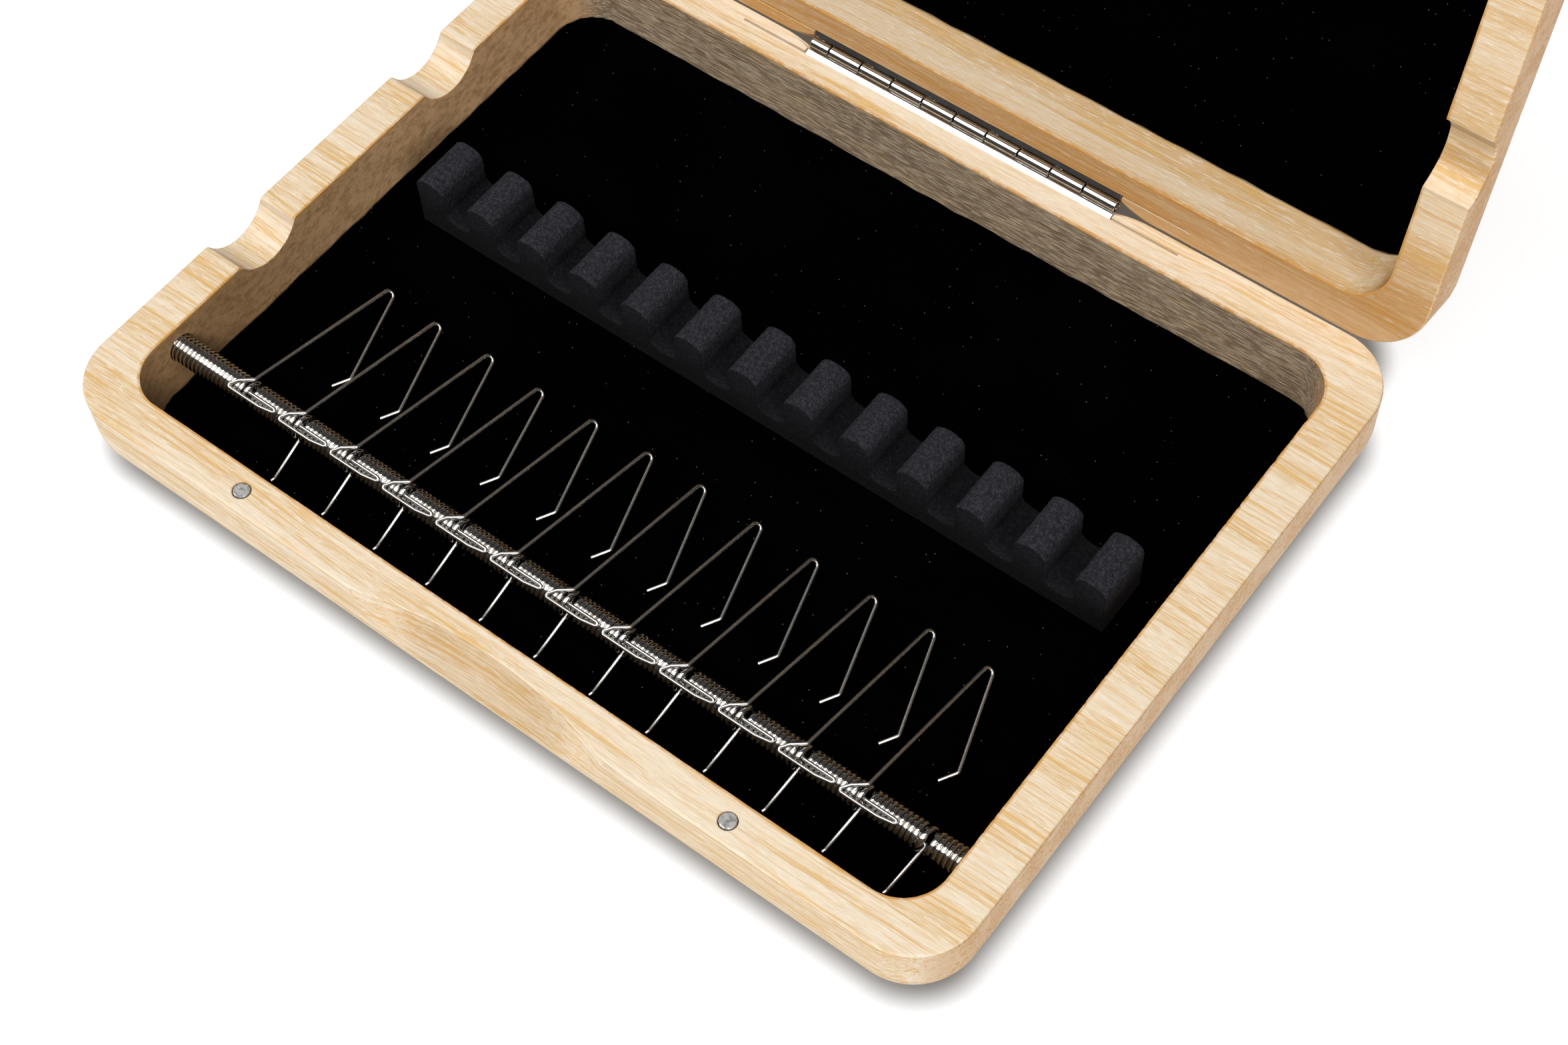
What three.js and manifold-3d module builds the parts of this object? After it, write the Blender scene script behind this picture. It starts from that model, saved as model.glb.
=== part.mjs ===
// Oboe reed case: a milled hardwood base and lid on a strip hinge. A long coil
// spring across the base carries twelve wire clips, which press the reeds into
// the grooves of a foam rack. Millimetres, +Z up, front towards -Y. The base
// stands on z = 0 with its middle at the origin, and the lid is held open.
import * as THREE from 'three';
import { mergeVertices } from 'three/addons/utils/BufferGeometryUtils.js';
import Module from 'manifold-3d';

const wasm = await Module();
wasm.setup();

// Case
const caseLength = 155;
const caseWidth = 116.4;
const cornerRadius = 10;
const underRadius = 8;
const sideWall = 7.1;
const frontWall = 6.4;
const backWall = 6.4;
const pocketRadius = 7;
const basePocketDepth = 12.5;
const baseFloor = 2.5;
const lidFloor = 3.2;
const feltThickness = 1;
const fitGap = 0.3;
const overrun = 2;
const cornerSteps = 7;
const underSteps = 6;
const roundSides = 24;

// Vent notches in one side wall
const ventLength = 11.6;
const ventDepth = 3.7;
const ventSpacing = 41.1;
const baseVentFromBack = 37.7;
const lidVentFromBack = 35.4;

// Thumb scoop in the front
const scoopHalfLength = 22.3;
const scoopRimDepth = 3.6;
const scoopFaceDepth = 8.1;
const scoopOffset = 2.4;
const scoopStations = 12;
const scoopFullnessShare = 4;

// Magnets in the front rim
const magnetRadius = 1.25;
const magnetLength = 3;
const magnetSpacing = 86.2;
const magnetFromFront = 3.1;
const magnetGap = 0.15;

// Strip hinge
const knuckleCount = 10;
const knucklePitch = 5.87;
const firstKnuckleShare = 0.6;
const knuckleGap = 0.25;
const barrelRadius = 1.15;
const pinRadius = 0.5;
const pinGap = 0.1;
const leafThickness = 0.5;
const hingeDrop = 0.4;
const rimGap = 0.3;
const openAngle = 101;
const coveRunOut = 6;
const coveEndRadius = 0.2;
const coveSteps = 4;
const kerfFromBack = 2.2;
const kerfGap = 0.1;
const kerfDepth = 6.8;
const kerfRunOut = 8;
const barrelSides = 16;

// Reed spring, from wall to wall
const springOuterRadius = 2.215;
const springWire = 0.75;
const springFromFront = 17.84;
const springBelowRim = 4.42;
const springHoleDepth = 2.5;
const curlsPerClip = 6;
const curlSteps = 8;
const curlSides = 5;

// Reed clips, each one bent wire
const clipPitch = 10;
const firstClipFromLeft = 20.8;
const clipWire = 0.5;
const clipSides = 5;
const clipSeatGap = 0.12;
const clipInnerRadius = 0.85;
const sharpBend = 0.32;
const softBend = 0.6;
const apexBend = 0.79;
const bendStep = THREE.MathUtils.degToRad(50);
const hookEnd = new THREE.Vector3(5.45, 9.75, -4.98);
const hookBend = new THREE.Vector3(7.1, 12.2, -4.58);
const clipApex = new THREE.Vector3(1.95, 30, -3.58);
const seatShift = 0.4;
const seatAngle = 76.5;
const crossingShift = -1;
const crossingAngle = 100;
const frontLegAngle = 123;
const frontLegStart = -2.4;
const legEnd = 6.3;
const backLegAngle = 97;
const diveShift = 1.46;
const tailGapAngle = 223;
const tailInnerAngle = 238.6;
const tailReach = 8.6;
const tailAngle = 212.2;
const toeDrop = 0.6;
const toeLean = 0.25;

// Foam rack
const ridgeWidth = 5.2;
const ridgeBeforeClip = 2.6;
const rackEndRoom = 7;
const foamFromFront = 60.6;
const foamDepth = 9.6;
const grooveFloorBelowRim = 7.8;
const shoulderBelowRim = 3;
const ridgeTopBelowRim = 1.3;
const ridgeSteps = 6;

const finishes = {
  wood: new THREE.MeshStandardMaterial({ color: 0xe6c99d, roughness: 0.55, metalness: 0 }),
  felt: new THREE.MeshStandardMaterial({ color: 0x0b0b0c, roughness: 1, metalness: 0 }),
  foam: new THREE.MeshStandardMaterial({ color: 0x3a3a3c, roughness: 0.95, metalness: 0 }),
  nickel: new THREE.MeshStandardMaterial({ color: 0xc9c8c4, roughness: 0.18, metalness: 1 }),
  magnet: new THREE.MeshStandardMaterial({ color: 0x8d8d8f, roughness: 0.4, metalness: 1 }),
};

// Places that more than one piece uses
const shellHeight = basePocketDepth + baseFloor;
const leftEdge = -caseLength / 2;
const frontEdge = -caseWidth / 2;
const backEdge = caseWidth / 2;
const hingeY = backEdge;
const hingeZ = shellHeight + rimGap / 2;
const flangeTop = hingeZ - hingeDrop;
const kerfWidth = leafThickness + 2 * kerfGap;
const hingeLength = (knuckleCount - 1 + firstKnuckleShare) * knucklePitch;
const kerfY = backEdge - kerfFromBack;
const springY = frontEdge + springFromFront;
const springZ = shellHeight - springBelowRim;
const springRadius = springOuterRadius - springWire / 2;
const springPitch = clipPitch / curlsPerClip;
const springHoleEnd = caseLength / 2 - sideWall + springHoleDepth;
const firstClipX = leftEdge + firstClipFromLeft;
const rackRoom = caseLength - 2 * (sideWall + rackEndRoom) - ridgeWidth;
const clipCount = Math.floor(rackRoom / clipPitch);
const clipSeatRadius = springOuterRadius + clipWire / 2 + clipSeatGap;

// Closed meshes and solids

function meshFrom(positions, triangles) {
  const geometry = new THREE.BufferGeometry();
  geometry.setAttribute('position', new THREE.BufferAttribute(new Float32Array(positions), 3));
  geometry.setIndex(triangles);
  return geometry;
}

function solid(geometry) {
  const bare = geometry.clone();
  bare.deleteAttribute('normal');
  bare.deleteAttribute('uv');
  const merged = mergeVertices(bare);
  return new wasm.Manifold(new wasm.Mesh({
    numProp: 3,
    vertProperties: new Float32Array(merged.attributes.position.array),
    triVerts: new Uint32Array(merged.index.array),
  }));
}

function geometryOf(manifold) {
  const mesh = manifold.getMesh();
  return meshFrom(mesh.vertProperties, Array.from(mesh.triVerts));
}

// Skin over rings of equally many points, with a fan across each end
function loft(rings) {
  const sides = rings[0].length;
  const positions = rings.flat().flatMap((point) => [point.x, point.y, point.z]);
  const triangles = [];
  for (let ring = 0; ring + 1 < rings.length; ring += 1) {
    for (let side = 0; side < sides; side += 1) {
      const next = (side + 1) % sides;
      const a = ring * sides + side;
      const b = ring * sides + next;
      triangles.push(a, b, b + sides, a, b + sides, a + sides);
    }
  }
  const last = (rings.length - 1) * sides;
  for (let side = 1; side + 1 < sides; side += 1) {
    triangles.push(0, side + 1, side);
    triangles.push(last, last + side, last + side + 1);
  }
  return meshFrom(positions, triangles);
}

// One level of a rectangle with round corners, counter-clockwise from above
function roundedRing(left, right, front, back, radius, z) {
  const ring = [];
  const centres = [
    [right - radius, back - radius],
    [left + radius, back - radius],
    [left + radius, front + radius],
    [right - radius, front + radius],
  ];
  centres.forEach(([x, y], quarter) => {
    for (let step = 0; step <= cornerSteps; step += 1) {
      const angle = (quarter + step / cornerSteps) * Math.PI / 2;
      ring.push(new THREE.Vector3(x + radius * Math.cos(angle), y + radius * Math.sin(angle), z));
    }
  });
  return ring;
}

function pocketRing(gap, z) {
  const side = caseLength / 2 - sideWall - gap;
  return roundedRing(-side, side, frontEdge + frontWall + gap, backEdge - backWall - gap,
    pocketRadius - gap, z);
}

function cylinderAlongX(radius, from, to, y, z, sides = roundSides) {
  const cylinder = new THREE.CylinderGeometry(radius, radius, to - from, sides);
  cylinder.rotateZ(-Math.PI / 2);
  cylinder.translate((from + to) / 2, y, z);
  return cylinder;
}

function box(x0, x1, y0, y1, z0, z1) {
  const block = new THREE.BoxGeometry(x1 - x0, y1 - y0, z1 - z0);
  block.translate((x0 + x1) / 2, (y0 + y1) / 2, (z0 + z1) / 2);
  return block;
}

// Wooden shells

// A cut from above with sloping run-outs at its two ends
function saddleCut(halfLength, runOut, depth, y0, y1) {
  const top = shellHeight + overrun;
  const outline = new THREE.Shape();
  outline.moveTo(-halfLength - runOut, top);
  outline.lineTo(-halfLength - runOut, shellHeight);
  outline.lineTo(-halfLength, shellHeight - depth);
  outline.lineTo(halfLength, shellHeight - depth);
  outline.lineTo(halfLength + runOut, shellHeight);
  outline.lineTo(halfLength + runOut, top);
  const cut = new THREE.ExtrudeGeometry(outline, { depth: y1 - y0, bevelEnabled: false });
  cut.rotateX(Math.PI / 2);
  cut.translate(0, y1, 0);
  return cut;
}

// Room round the hinge's axis for the barrels, which narrows to nothing at its two ends
function barrelCove() {
  const full = barrelRadius + fitGap;
  const stations = [];
  for (let step = 0; step <= coveSteps; step += 1) {
    const share = step / coveSteps;
    const x = hingeLength / 2 + coveRunOut * share;
    const radius = coveEndRadius + (full - coveEndRadius) * (1 - share) ** 2;
    stations.push([x, radius]);
    stations.unshift([-x, radius]);
  }
  return loft(stations.map(([x, radius]) => Array.from({ length: barrelSides }, (_, side) => {
    const angle = side / barrelSides * 2 * Math.PI;
    return new THREE.Vector3(x, hingeY + radius * Math.cos(angle), hingeZ + radius * Math.sin(angle));
  })));
}

function flangeRecess() {
  const end = hingeLength / 2 + kerfGap;
  return box(-end, end, kerfY - kerfWidth / 2, backEdge + overrun, flangeTop - leafThickness - fitGap,
    shellHeight + overrun);
}

// The scoop slopes from an arc in the rim down to a fuller arc on the front face
function scoopCut(centreX) {
  const rings = [];
  for (let station = 1; station < scoopStations; station += 1) {
    const share = -Math.cos(station / scoopStations * Math.PI);
    const rimDepth = scoopRimDepth * (1 - share ** 2);
    const faceDepth = scoopFaceDepth * Math.sqrt(1 - Math.abs(share) ** scoopFullnessShare);
    const outside = frontEdge - overrun;
    const above = shellHeight + overrun;
    const x = centreX + share * scoopHalfLength;
    rings.push([
      new THREE.Vector3(x, outside, shellHeight - faceDepth),
      new THREE.Vector3(x, frontEdge, shellHeight - faceDepth),
      new THREE.Vector3(x, frontEdge + rimDepth, shellHeight),
      new THREE.Vector3(x, frontEdge + rimDepth, above),
      new THREE.Vector3(x, outside, above),
    ]);
  }
  return loft(rings);
}

function ventCut(y) {
  const radius = ((ventLength / 2) ** 2 + ventDepth ** 2) / (2 * ventDepth);
  return cylinderAlongX(radius, leftEdge - overrun, leftEdge + sideWall + overrun, y,
    shellHeight - ventDepth + radius, 2 * roundSides);
}

function magnetPlaces() {
  return [-magnetSpacing / 2, magnetSpacing / 2];
}

function uprightCylinder(radius, x, y, from, to) {
  const cylinder = new THREE.CylinderGeometry(radius, radius, to - from, roundSides);
  cylinder.rotateX(Math.PI / 2);
  cylinder.translate(x, y, (from + to) / 2);
  return cylinder;
}

function shell(floor, ventFromBack, scoopX, holdsSpring) {
  const rings = [];
  for (let step = 0; step <= underSteps; step += 1) {
    const angle = step / underSteps * Math.PI / 2;
    const inset = underRadius * (1 - Math.sin(angle));
    const z = underRadius * (1 - Math.cos(angle));
    rings.push(roundedRing(leftEdge + inset, -leftEdge - inset, frontEdge + inset, backEdge - inset,
      cornerRadius - inset, z));
  }
  rings.push(roundedRing(leftEdge, -leftEdge, frontEdge, backEdge, cornerRadius, shellHeight));
  const cuts = [
    loft([pocketRing(0, floor), pocketRing(0, shellHeight + overrun)]),
    ventCut(backEdge - ventFromBack),
    ventCut(backEdge - ventFromBack - ventSpacing),
    scoopCut(scoopX),
    flangeRecess(),
    barrelCove(),
    saddleCut(hingeLength / 2, kerfRunOut, kerfDepth, kerfY - kerfWidth / 2, kerfY + kerfWidth / 2),
  ];
  for (const x of magnetPlaces()) {
    cuts.push(uprightCylinder(magnetRadius + magnetGap, x, frontEdge + magnetFromFront,
      shellHeight - magnetLength - magnetGap, shellHeight + overrun));
  }
  if (holdsSpring) {
    cuts.push(cylinderAlongX(springOuterRadius + fitGap, -springHoleEnd, springHoleEnd, springY, springZ));
  }
  return geometryOf(cuts.reduce((body, cut) => body.subtract(solid(cut)), solid(loft(rings))));
}

function felt(floor) {
  return loft([pocketRing(fitGap, floor), pocketRing(fitGap, floor + feltThickness)]);
}

function magnet(x) {
  return uprightCylinder(magnetRadius, x, frontEdge + magnetFromFront, shellHeight - magnetLength,
    shellHeight);
}

// Hinge

// The stretch of barrel that each knuckle takes, left to right
function knuckleSpans() {
  const spans = [];
  let left = -hingeLength / 2;
  for (let index = 0; index < knuckleCount; index += 1) {
    const right = left + knucklePitch * (index === 0 ? firstKnuckleShare : 1);
    spans.push([left + knuckleGap / 2, right - knuckleGap / 2]);
    left = right;
  }
  return spans;
}

function barrel(from, to) {
  const bore = pinRadius + pinGap;
  const profile = [
    new THREE.Vector2(bore, from),
    new THREE.Vector2(barrelRadius, from),
    new THREE.Vector2(barrelRadius, to),
    new THREE.Vector2(bore, to),
    new THREE.Vector2(bore, from),
  ];
  const tube = new THREE.LatheGeometry(profile, barrelSides);
  tube.rotateZ(-Math.PI / 2);
  tube.translate(0, hingeY, hingeZ);
  return tube;
}

// A flange from the kerf to the barrels, and a flat leaf down the kerf
function hingeLeaf(spans) {
  const bottom = flangeTop - leafThickness;
  const leafY0 = kerfY - leafThickness / 2;
  const leafY1 = kerfY + leafThickness / 2;
  const flangeEnd = hingeY - barrelRadius - fitGap;
  const fingerEnd = hingeY - (barrelRadius + pinRadius + pinGap) / 2;
  const half = hingeLength / 2;
  const leafFoot = shellHeight - kerfDepth + fitGap;
  let leaf = solid(box(-half, half, leafY0, flangeEnd, bottom, flangeTop));
  leaf = leaf.add(solid(box(-half, half, leafY0, leafY1, leafFoot, flangeTop)));
  for (const [from, to] of spans) {
    leaf = leaf.add(solid(box(from, to, kerfY, fingerEnd, bottom, flangeTop)));
    leaf = leaf.add(solid(barrel(from, to)));
  }
  return geometryOf(leaf);
}

function hingePin() {
  return cylinderAlongX(pinRadius, -hingeLength / 2, hingeLength / 2, hingeY, hingeZ, barrelSides);
}

// Round wire

// Replaces each corner that has a bend by an arc of that radius
function bentPath(corners) {
  const path = [corners[0].at];
  for (let index = 1; index + 1 < corners.length; index += 1) {
    const { at, bend } = corners[index];
    const before = corners[index - 1].at.clone().sub(at).normalize();
    const after = corners[index + 1].at.clone().sub(at).normalize();
    const turn = Math.PI - before.angleTo(after);
    const axis = before.clone().cross(after).normalize();
    const middle = before.clone().add(after).normalize();
    const centre = at.clone().addScaledVector(middle, bend / Math.cos(turn / 2));
    const spoke = at.clone().addScaledVector(before, bend * Math.tan(turn / 2)).sub(centre);
    const steps = Math.max(1, Math.ceil(turn / bendStep));
    for (let step = 0; step <= steps; step += 1) {
      path.push(spoke.clone().applyAxisAngle(axis, -turn * step / steps).add(centre));
    }
  }
  path.push(corners[corners.length - 1].at);
  return path;
}

function tube(path, radius, sides) {
  const tangents = path.map((point, index) => {
    const ahead = path[Math.min(index + 1, path.length - 1)].clone();
    const behind = path[Math.max(index - 1, 0)];
    const forward = ahead.clone().sub(point).normalize();
    const backward = point.clone().sub(behind).normalize();
    return forward.add(backward).normalize();
  });
  const steepest = new THREE.Vector3(0, 0, 1);
  let normal = steepest.cross(tangents[0]);
  normal = normal.lengthSq() > 0 ? normal.normalize() : new THREE.Vector3(1, 0, 0);
  const rings = path.map((point, index) => {
    const tangent = tangents[index];
    normal = normal.clone().addScaledVector(tangent, -normal.dot(tangent)).normalize();
    const binormal = tangent.clone().cross(normal);
    return Array.from({ length: sides }, (_, side) => {
      const angle = side / sides * 2 * Math.PI;
      return point.clone()
        .addScaledVector(normal, radius * Math.cos(angle))
        .addScaledVector(binormal, radius * Math.sin(angle));
    });
  });
  return loft(rings);
}

// A point at an angle round the spring's axis, from +Y towards +Z
function roundSpring(x, radius, degrees) {
  const angle = THREE.MathUtils.degToRad(degrees);
  return new THREE.Vector3(x, radius * Math.cos(angle), radius * Math.sin(angle));
}

// The curls leave a gap where each clip dives in and where its tail comes out
function springPath() {
  const end = springHoleEnd - fitGap;
  const first = springWire - end;
  const turns = 2 * (end - springWire) / springPitch;
  const steps = Math.round(turns * curlSteps);
  const path = [];
  for (let step = 0; step <= steps; step += 1) {
    const x = first + 2 * (end - springWire) * step / steps;
    const curls = (x - firstClipX - diveShift) / springPitch;
    path.push(roundSpring(x, springRadius, backLegAngle + 180 - 360 * curls));
  }
  const straight = new THREE.Vector3(springWire, 0, 0);
  path.unshift(path[0].clone().sub(straight));
  path.push(path[path.length - 1].clone().add(straight));
  return path.map((point) => point.add(new THREE.Vector3(0, springY, springZ)));
}

// Least distance between stretches of wire that are half a curl or more apart
function leastGap(path, wire) {
  let least = Infinity;
  for (let one = 0; one < path.length; one += 1) {
    for (let two = one + curlSteps / 2; two < path.length; two += 1) {
      least = Math.min(least, path[one].distanceTo(path[two]) - wire);
    }
  }
  return least;
}

// From the hook along the arm, over the curls as a hairpin, through and out as a tail
function clip() {
  const cornerRadiusOnTop = clipSeatRadius
    / Math.cos(THREE.MathUtils.degToRad(frontLegAngle - backLegAngle) / 2);
  const tailShift = diveShift + clipPitch - springPitch * (tailGapAngle - backLegAngle) / 360;
  const tailEnd = roundSpring(tailShift, tailReach, tailAngle);
  return tube(bentPath([
    { at: hookEnd },
    { at: hookBend, bend: softBend },
    { at: clipApex, bend: apexBend },
    { at: roundSpring(seatShift, clipSeatRadius, seatAngle), bend: softBend },
    { at: roundSpring(crossingShift, cornerRadiusOnTop, crossingAngle), bend: softBend },
    { at: roundSpring(frontLegStart, cornerRadiusOnTop, frontLegAngle), bend: sharpBend },
    { at: roundSpring(legEnd, cornerRadiusOnTop, frontLegAngle), bend: sharpBend },
    { at: roundSpring(legEnd, cornerRadiusOnTop, backLegAngle), bend: sharpBend },
    { at: roundSpring(diveShift, clipSeatRadius, backLegAngle), bend: sharpBend },
    { at: roundSpring(diveShift, clipInnerRadius, backLegAngle), bend: sharpBend },
    { at: roundSpring(tailShift, clipInnerRadius, tailInnerAngle), bend: sharpBend },
    { at: tailEnd, bend: sharpBend },
    { at: tailEnd.clone().add(new THREE.Vector3(0, -toeLean, -toeDrop)) },
  ]), clipWire / 2, clipSides);
}

// Foam rack

function foamRack() {
  const floor = baseFloor + feltThickness;
  const shoulder = shellHeight - shoulderBelowRim;
  const grooveFloor = shellHeight - grooveFloorBelowRim;
  const crown = shoulderBelowRim - ridgeTopBelowRim;
  const firstRidge = firstClipX - ridgeBeforeClip;
  const outline = new THREE.Shape();
  outline.moveTo(firstRidge - ridgeWidth / 2, floor);
  for (let ridge = 0; ridge <= clipCount; ridge += 1) {
    const middle = firstRidge + ridge * clipPitch;
    if (ridge > 0) {
      outline.lineTo(middle - ridgeWidth / 2, grooveFloor);
    }
    for (let step = 0; step <= ridgeSteps; step += 1) {
      const angle = (1 - step / ridgeSteps) * Math.PI;
      outline.lineTo(middle + ridgeWidth / 2 * Math.cos(angle), shoulder + crown * Math.sin(angle));
    }
    if (ridge < clipCount) {
      outline.lineTo(middle + ridgeWidth / 2, grooveFloor);
    }
  }
  outline.lineTo(firstRidge + clipCount * clipPitch + ridgeWidth / 2, floor);
  const rack = new THREE.ExtrudeGeometry(outline, { depth: foamDepth, bevelEnabled: false });
  rack.rotateX(Math.PI / 2);
  rack.translate(0, frontEdge + foamFromFront + foamDepth, 0);
  return rack;
}

// Assembly

function piece(name, geometry, material) {
  const mesh = new THREE.Mesh(geometry, material.clone());
  mesh.name = name;
  return mesh;
}

function base() {
  const group = new THREE.Group();
  const spring = springPath();
  console.log(`spring's least gap to itself: ${leastGap(spring, springWire).toFixed(2)} mm`);
  const spans = knuckleSpans().filter((_, index) => index % 2 === 1);
  const [leftMagnet, rightMagnet] = magnetPlaces();
  group.add(
    piece('base_frame', shell(baseFloor, baseVentFromBack, scoopOffset, true), finishes.wood),
    piece('base_felt', felt(baseFloor), finishes.felt),
    piece('base_magnet_left', magnet(leftMagnet), finishes.magnet),
    piece('base_magnet_right', magnet(rightMagnet), finishes.magnet),
    piece('hinge_leaf_base', hingeLeaf(spans), finishes.nickel),
    piece('hinge_pin', hingePin(), finishes.nickel),
    piece('reed_spring', tube(spring, springWire / 2, curlSides), finishes.nickel),
    piece('foam_rack', foamRack(), finishes.foam),
  );
  for (let index = 0; index < clipCount; index += 1) {
    const number = String(index + 1).padStart(2, '0');
    const wire = piece(`reed_clip_${number}`, clip(), finishes.nickel);
    wire.position.set(firstClipX + index * clipPitch, springY, springZ);
    group.add(wire);
  }
  return group;
}

// The lid is made like the base and turned over, so its left is the case's right
function lid() {
  const spans = knuckleSpans()
    .filter((_, index) => index % 2 === 0)
    .map(([from, to]) => [-to, -from]);
  const [rightMagnet, leftMagnet] = magnetPlaces();
  const turnedOver = new THREE.Group();
  turnedOver.add(
    piece('lid_frame', shell(lidFloor, lidVentFromBack, -scoopOffset, false), finishes.wood),
    piece('lid_felt', felt(lidFloor + fitGap), finishes.felt),
    piece('lid_magnet_left', magnet(leftMagnet), finishes.magnet),
    piece('lid_magnet_right', magnet(rightMagnet), finishes.magnet),
    piece('hinge_leaf_lid', hingeLeaf(spans), finishes.nickel),
  );
  turnedOver.rotation.y = Math.PI;
  turnedOver.position.set(0, -hingeY, hingeZ);
  const onHinge = new THREE.Group();
  onHinge.add(turnedOver);
  onHinge.rotation.x = -THREE.MathUtils.degToRad(openAngle);
  onHinge.position.set(0, hingeY, hingeZ);
  return onHinge;
}

const reedCase = new THREE.Group();
reedCase.add(base(), lid());

export default reedCase;
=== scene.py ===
"""Oboe reed case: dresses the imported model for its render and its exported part.

Sizes are in millimetres in the case's own frame: +Z up, the front towards -Y, and
the base standing on z = 0 with its middle at the origin. Meshes are in metres.
"""
import logging
import math
from dataclasses import dataclass
from enum import Enum
from functools import partial, reduce
from typing import Sequence

import bpy
import numpy as np
from mathutils import Euler, Matrix, Vector


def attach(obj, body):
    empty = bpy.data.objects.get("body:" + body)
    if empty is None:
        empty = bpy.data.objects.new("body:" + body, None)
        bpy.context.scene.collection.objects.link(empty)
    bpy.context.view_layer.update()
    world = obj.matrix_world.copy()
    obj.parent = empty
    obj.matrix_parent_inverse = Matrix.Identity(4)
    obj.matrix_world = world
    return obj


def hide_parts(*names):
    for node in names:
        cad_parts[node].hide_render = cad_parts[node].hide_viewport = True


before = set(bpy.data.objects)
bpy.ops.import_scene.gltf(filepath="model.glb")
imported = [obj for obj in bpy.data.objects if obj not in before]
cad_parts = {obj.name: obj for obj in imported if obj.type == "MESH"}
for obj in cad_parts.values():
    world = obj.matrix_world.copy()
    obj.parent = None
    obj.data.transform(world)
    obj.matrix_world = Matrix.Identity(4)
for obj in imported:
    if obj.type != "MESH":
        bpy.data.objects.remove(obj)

LOG = logging.getLogger("reed_case")
MM = 0.001
ANY_HEIGHT = 1000.0
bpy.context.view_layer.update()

Colour = tuple[float, float, float, float]
Triple = tuple[float, float, float]
Flat = tuple[float, float]
Face = Sequence[int]
Skin = tuple[np.ndarray, list[Face]]
Piece = bpy.types.Object
Tree = bpy.types.NodeTree
Socket = bpy.types.NodeSocket
Sockets = bpy.types.bpy_prop_collection
Source = Socket | float | Sequence[float]


class Body(Enum):
    """The bodies of the motion model that carry more than one piece."""

    BASE = "base"
    LID = "lid"


class Slot(Enum):
    """The record's material slots."""

    WOOD = "wood"
    FELT = "felt"
    FOAM = "foam"
    NICKEL = "nickel"
    MAGNET = "magnet"


class Side(Enum):
    """The four straight sides of a shell, and the rounds between them."""

    FRONT = "front"
    RIGHT = "right"
    BACK = "back"
    LEFT = "left"
    CORNER = "corner"


# Sizes that more than one piece uses


@dataclass(frozen=True)
class CaseSizes:
    """The outside, the pocket, and the lines and gaps that more than one piece is placed from."""

    length: float = 155.0
    width: float = 116.4
    corner: float = 10.0
    under: float = 8.0
    side_wall: float = 7.1
    front_wall: float = 6.4
    back_wall: float = 6.4
    pocket_corner: float = 7.0
    height: float = 15.0
    hinge_y: float = 58.2
    hinge_z: float = 15.15
    open_angle: float = 101.0
    hinge_half: float = 28.176
    first_clip: float = -56.7
    clip_pitch: float = 10.0
    clip_count: int = 12
    spring_y: float = -40.36
    spring_z: float = 10.58
    gap_pitch: float = 1.6667
    gap_shift: float = 1.46
    gap_angle: float = 114.0
    magnet_x: float = 43.1
    magnet_from_front: float = 3.1

    @property
    def pocket(self) -> tuple[float, float, float, float]:
        """The pocket's left, right, front and back."""
        side = self.length / 2 - self.side_wall
        return -side, side, self.front_wall - self.width / 2, self.width / 2 - self.back_wall

    def lid_place(self) -> Matrix:
        """The lid's place: made like the base, turned over and swung open.

        Returns:
            Matrix: From the base's frame to the open lid's, in millimetres.
        """
        turned = Matrix.Rotation(math.pi, 4, "Y")
        on_hinge = Matrix.Translation((0.0, -self.hinge_y, self.hinge_z))
        swing = Matrix.Rotation(-math.radians(self.open_angle), 4, "X")
        hinge = Matrix.Translation((0.0, self.hinge_y, self.hinge_z))
        return hinge @ swing @ on_hinge @ turned


CASE = CaseSizes()


def place_of(body: Body) -> Matrix:
    """Where a shell and what is fixed in it stand at rest, in millimetres."""
    return CASE.lid_place() if body is Body.LID else Matrix.Identity(4)


# Meshes


def smooth(mesh: bpy.types.Mesh, sharp_from: float) -> None:
    """Shades a mesh smooth, except edges that turn by more degrees than the given ones."""
    mesh.shade_smooth()
    mesh.set_sharp_from_angle(angle=math.radians(sharp_from))


def new_piece(name: str, shape: Skin, sharp_from: float = 32.0, place: Matrix | None = None) -> Piece:
    """Makes a mesh object from a shape in millimetres.

    Args:
        name: The piece's name.
        shape: Its points, and its faces, counter-clockwise from outside.
        sharp_from: Edges that turn by more degrees than this stay sharp.
        place: A place to move the points to first.

    Returns:
        Piece: The piece, linked to the scene.
    """
    at = np.asarray(shape[0], dtype=float)
    if place is not None:
        turn = np.array(place)
        at = at @ turn[:3, :3].T + turn[:3, 3]
    mesh = bpy.data.meshes.new(name)
    mesh.from_pydata((at * MM).tolist(), [], [list(face) for face in shape[1]])
    mesh.update()
    smooth(mesh, sharp_from)
    piece = bpy.data.objects.new(name, mesh)
    bpy.context.scene.collection.objects.link(piece)
    return piece


def moved(shape: Skin, offset: Triple, axes: Sequence[int] = (0, 1, 2)) -> Skin:
    """Moves a shape, once its axes have changed places."""
    return shape[0][:, axes] + offset, shape[1]


def skin(rings: Sequence[np.ndarray], closed: bool = False) -> Skin:
    """Stretches a skin over rings of equally many points.

    Args:
        rings: The rings in order, each counter-clockwise seen from the last ring.
        closed: Whether the last ring joins the first; otherwise both ends get a cap.

    Returns:
        tuple: The points and the faces.
    """
    count, sides = len(rings), len(rings[0])
    faces: list[Face] = []
    for ring in range(count if closed else count - 1):
        here, there = ring * sides, (ring + 1) % count * sides
        for side in range(sides):
            step = (side + 1) % sides
            faces.append((here + side, here + step, there + step, there + side))
    if not closed:
        last = (count - 1) * sides
        faces.append(tuple(range(sides - 1, -1, -1)))
        faces.append(tuple(range(last, last + sides)))
    return np.concatenate(rings), faces


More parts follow.
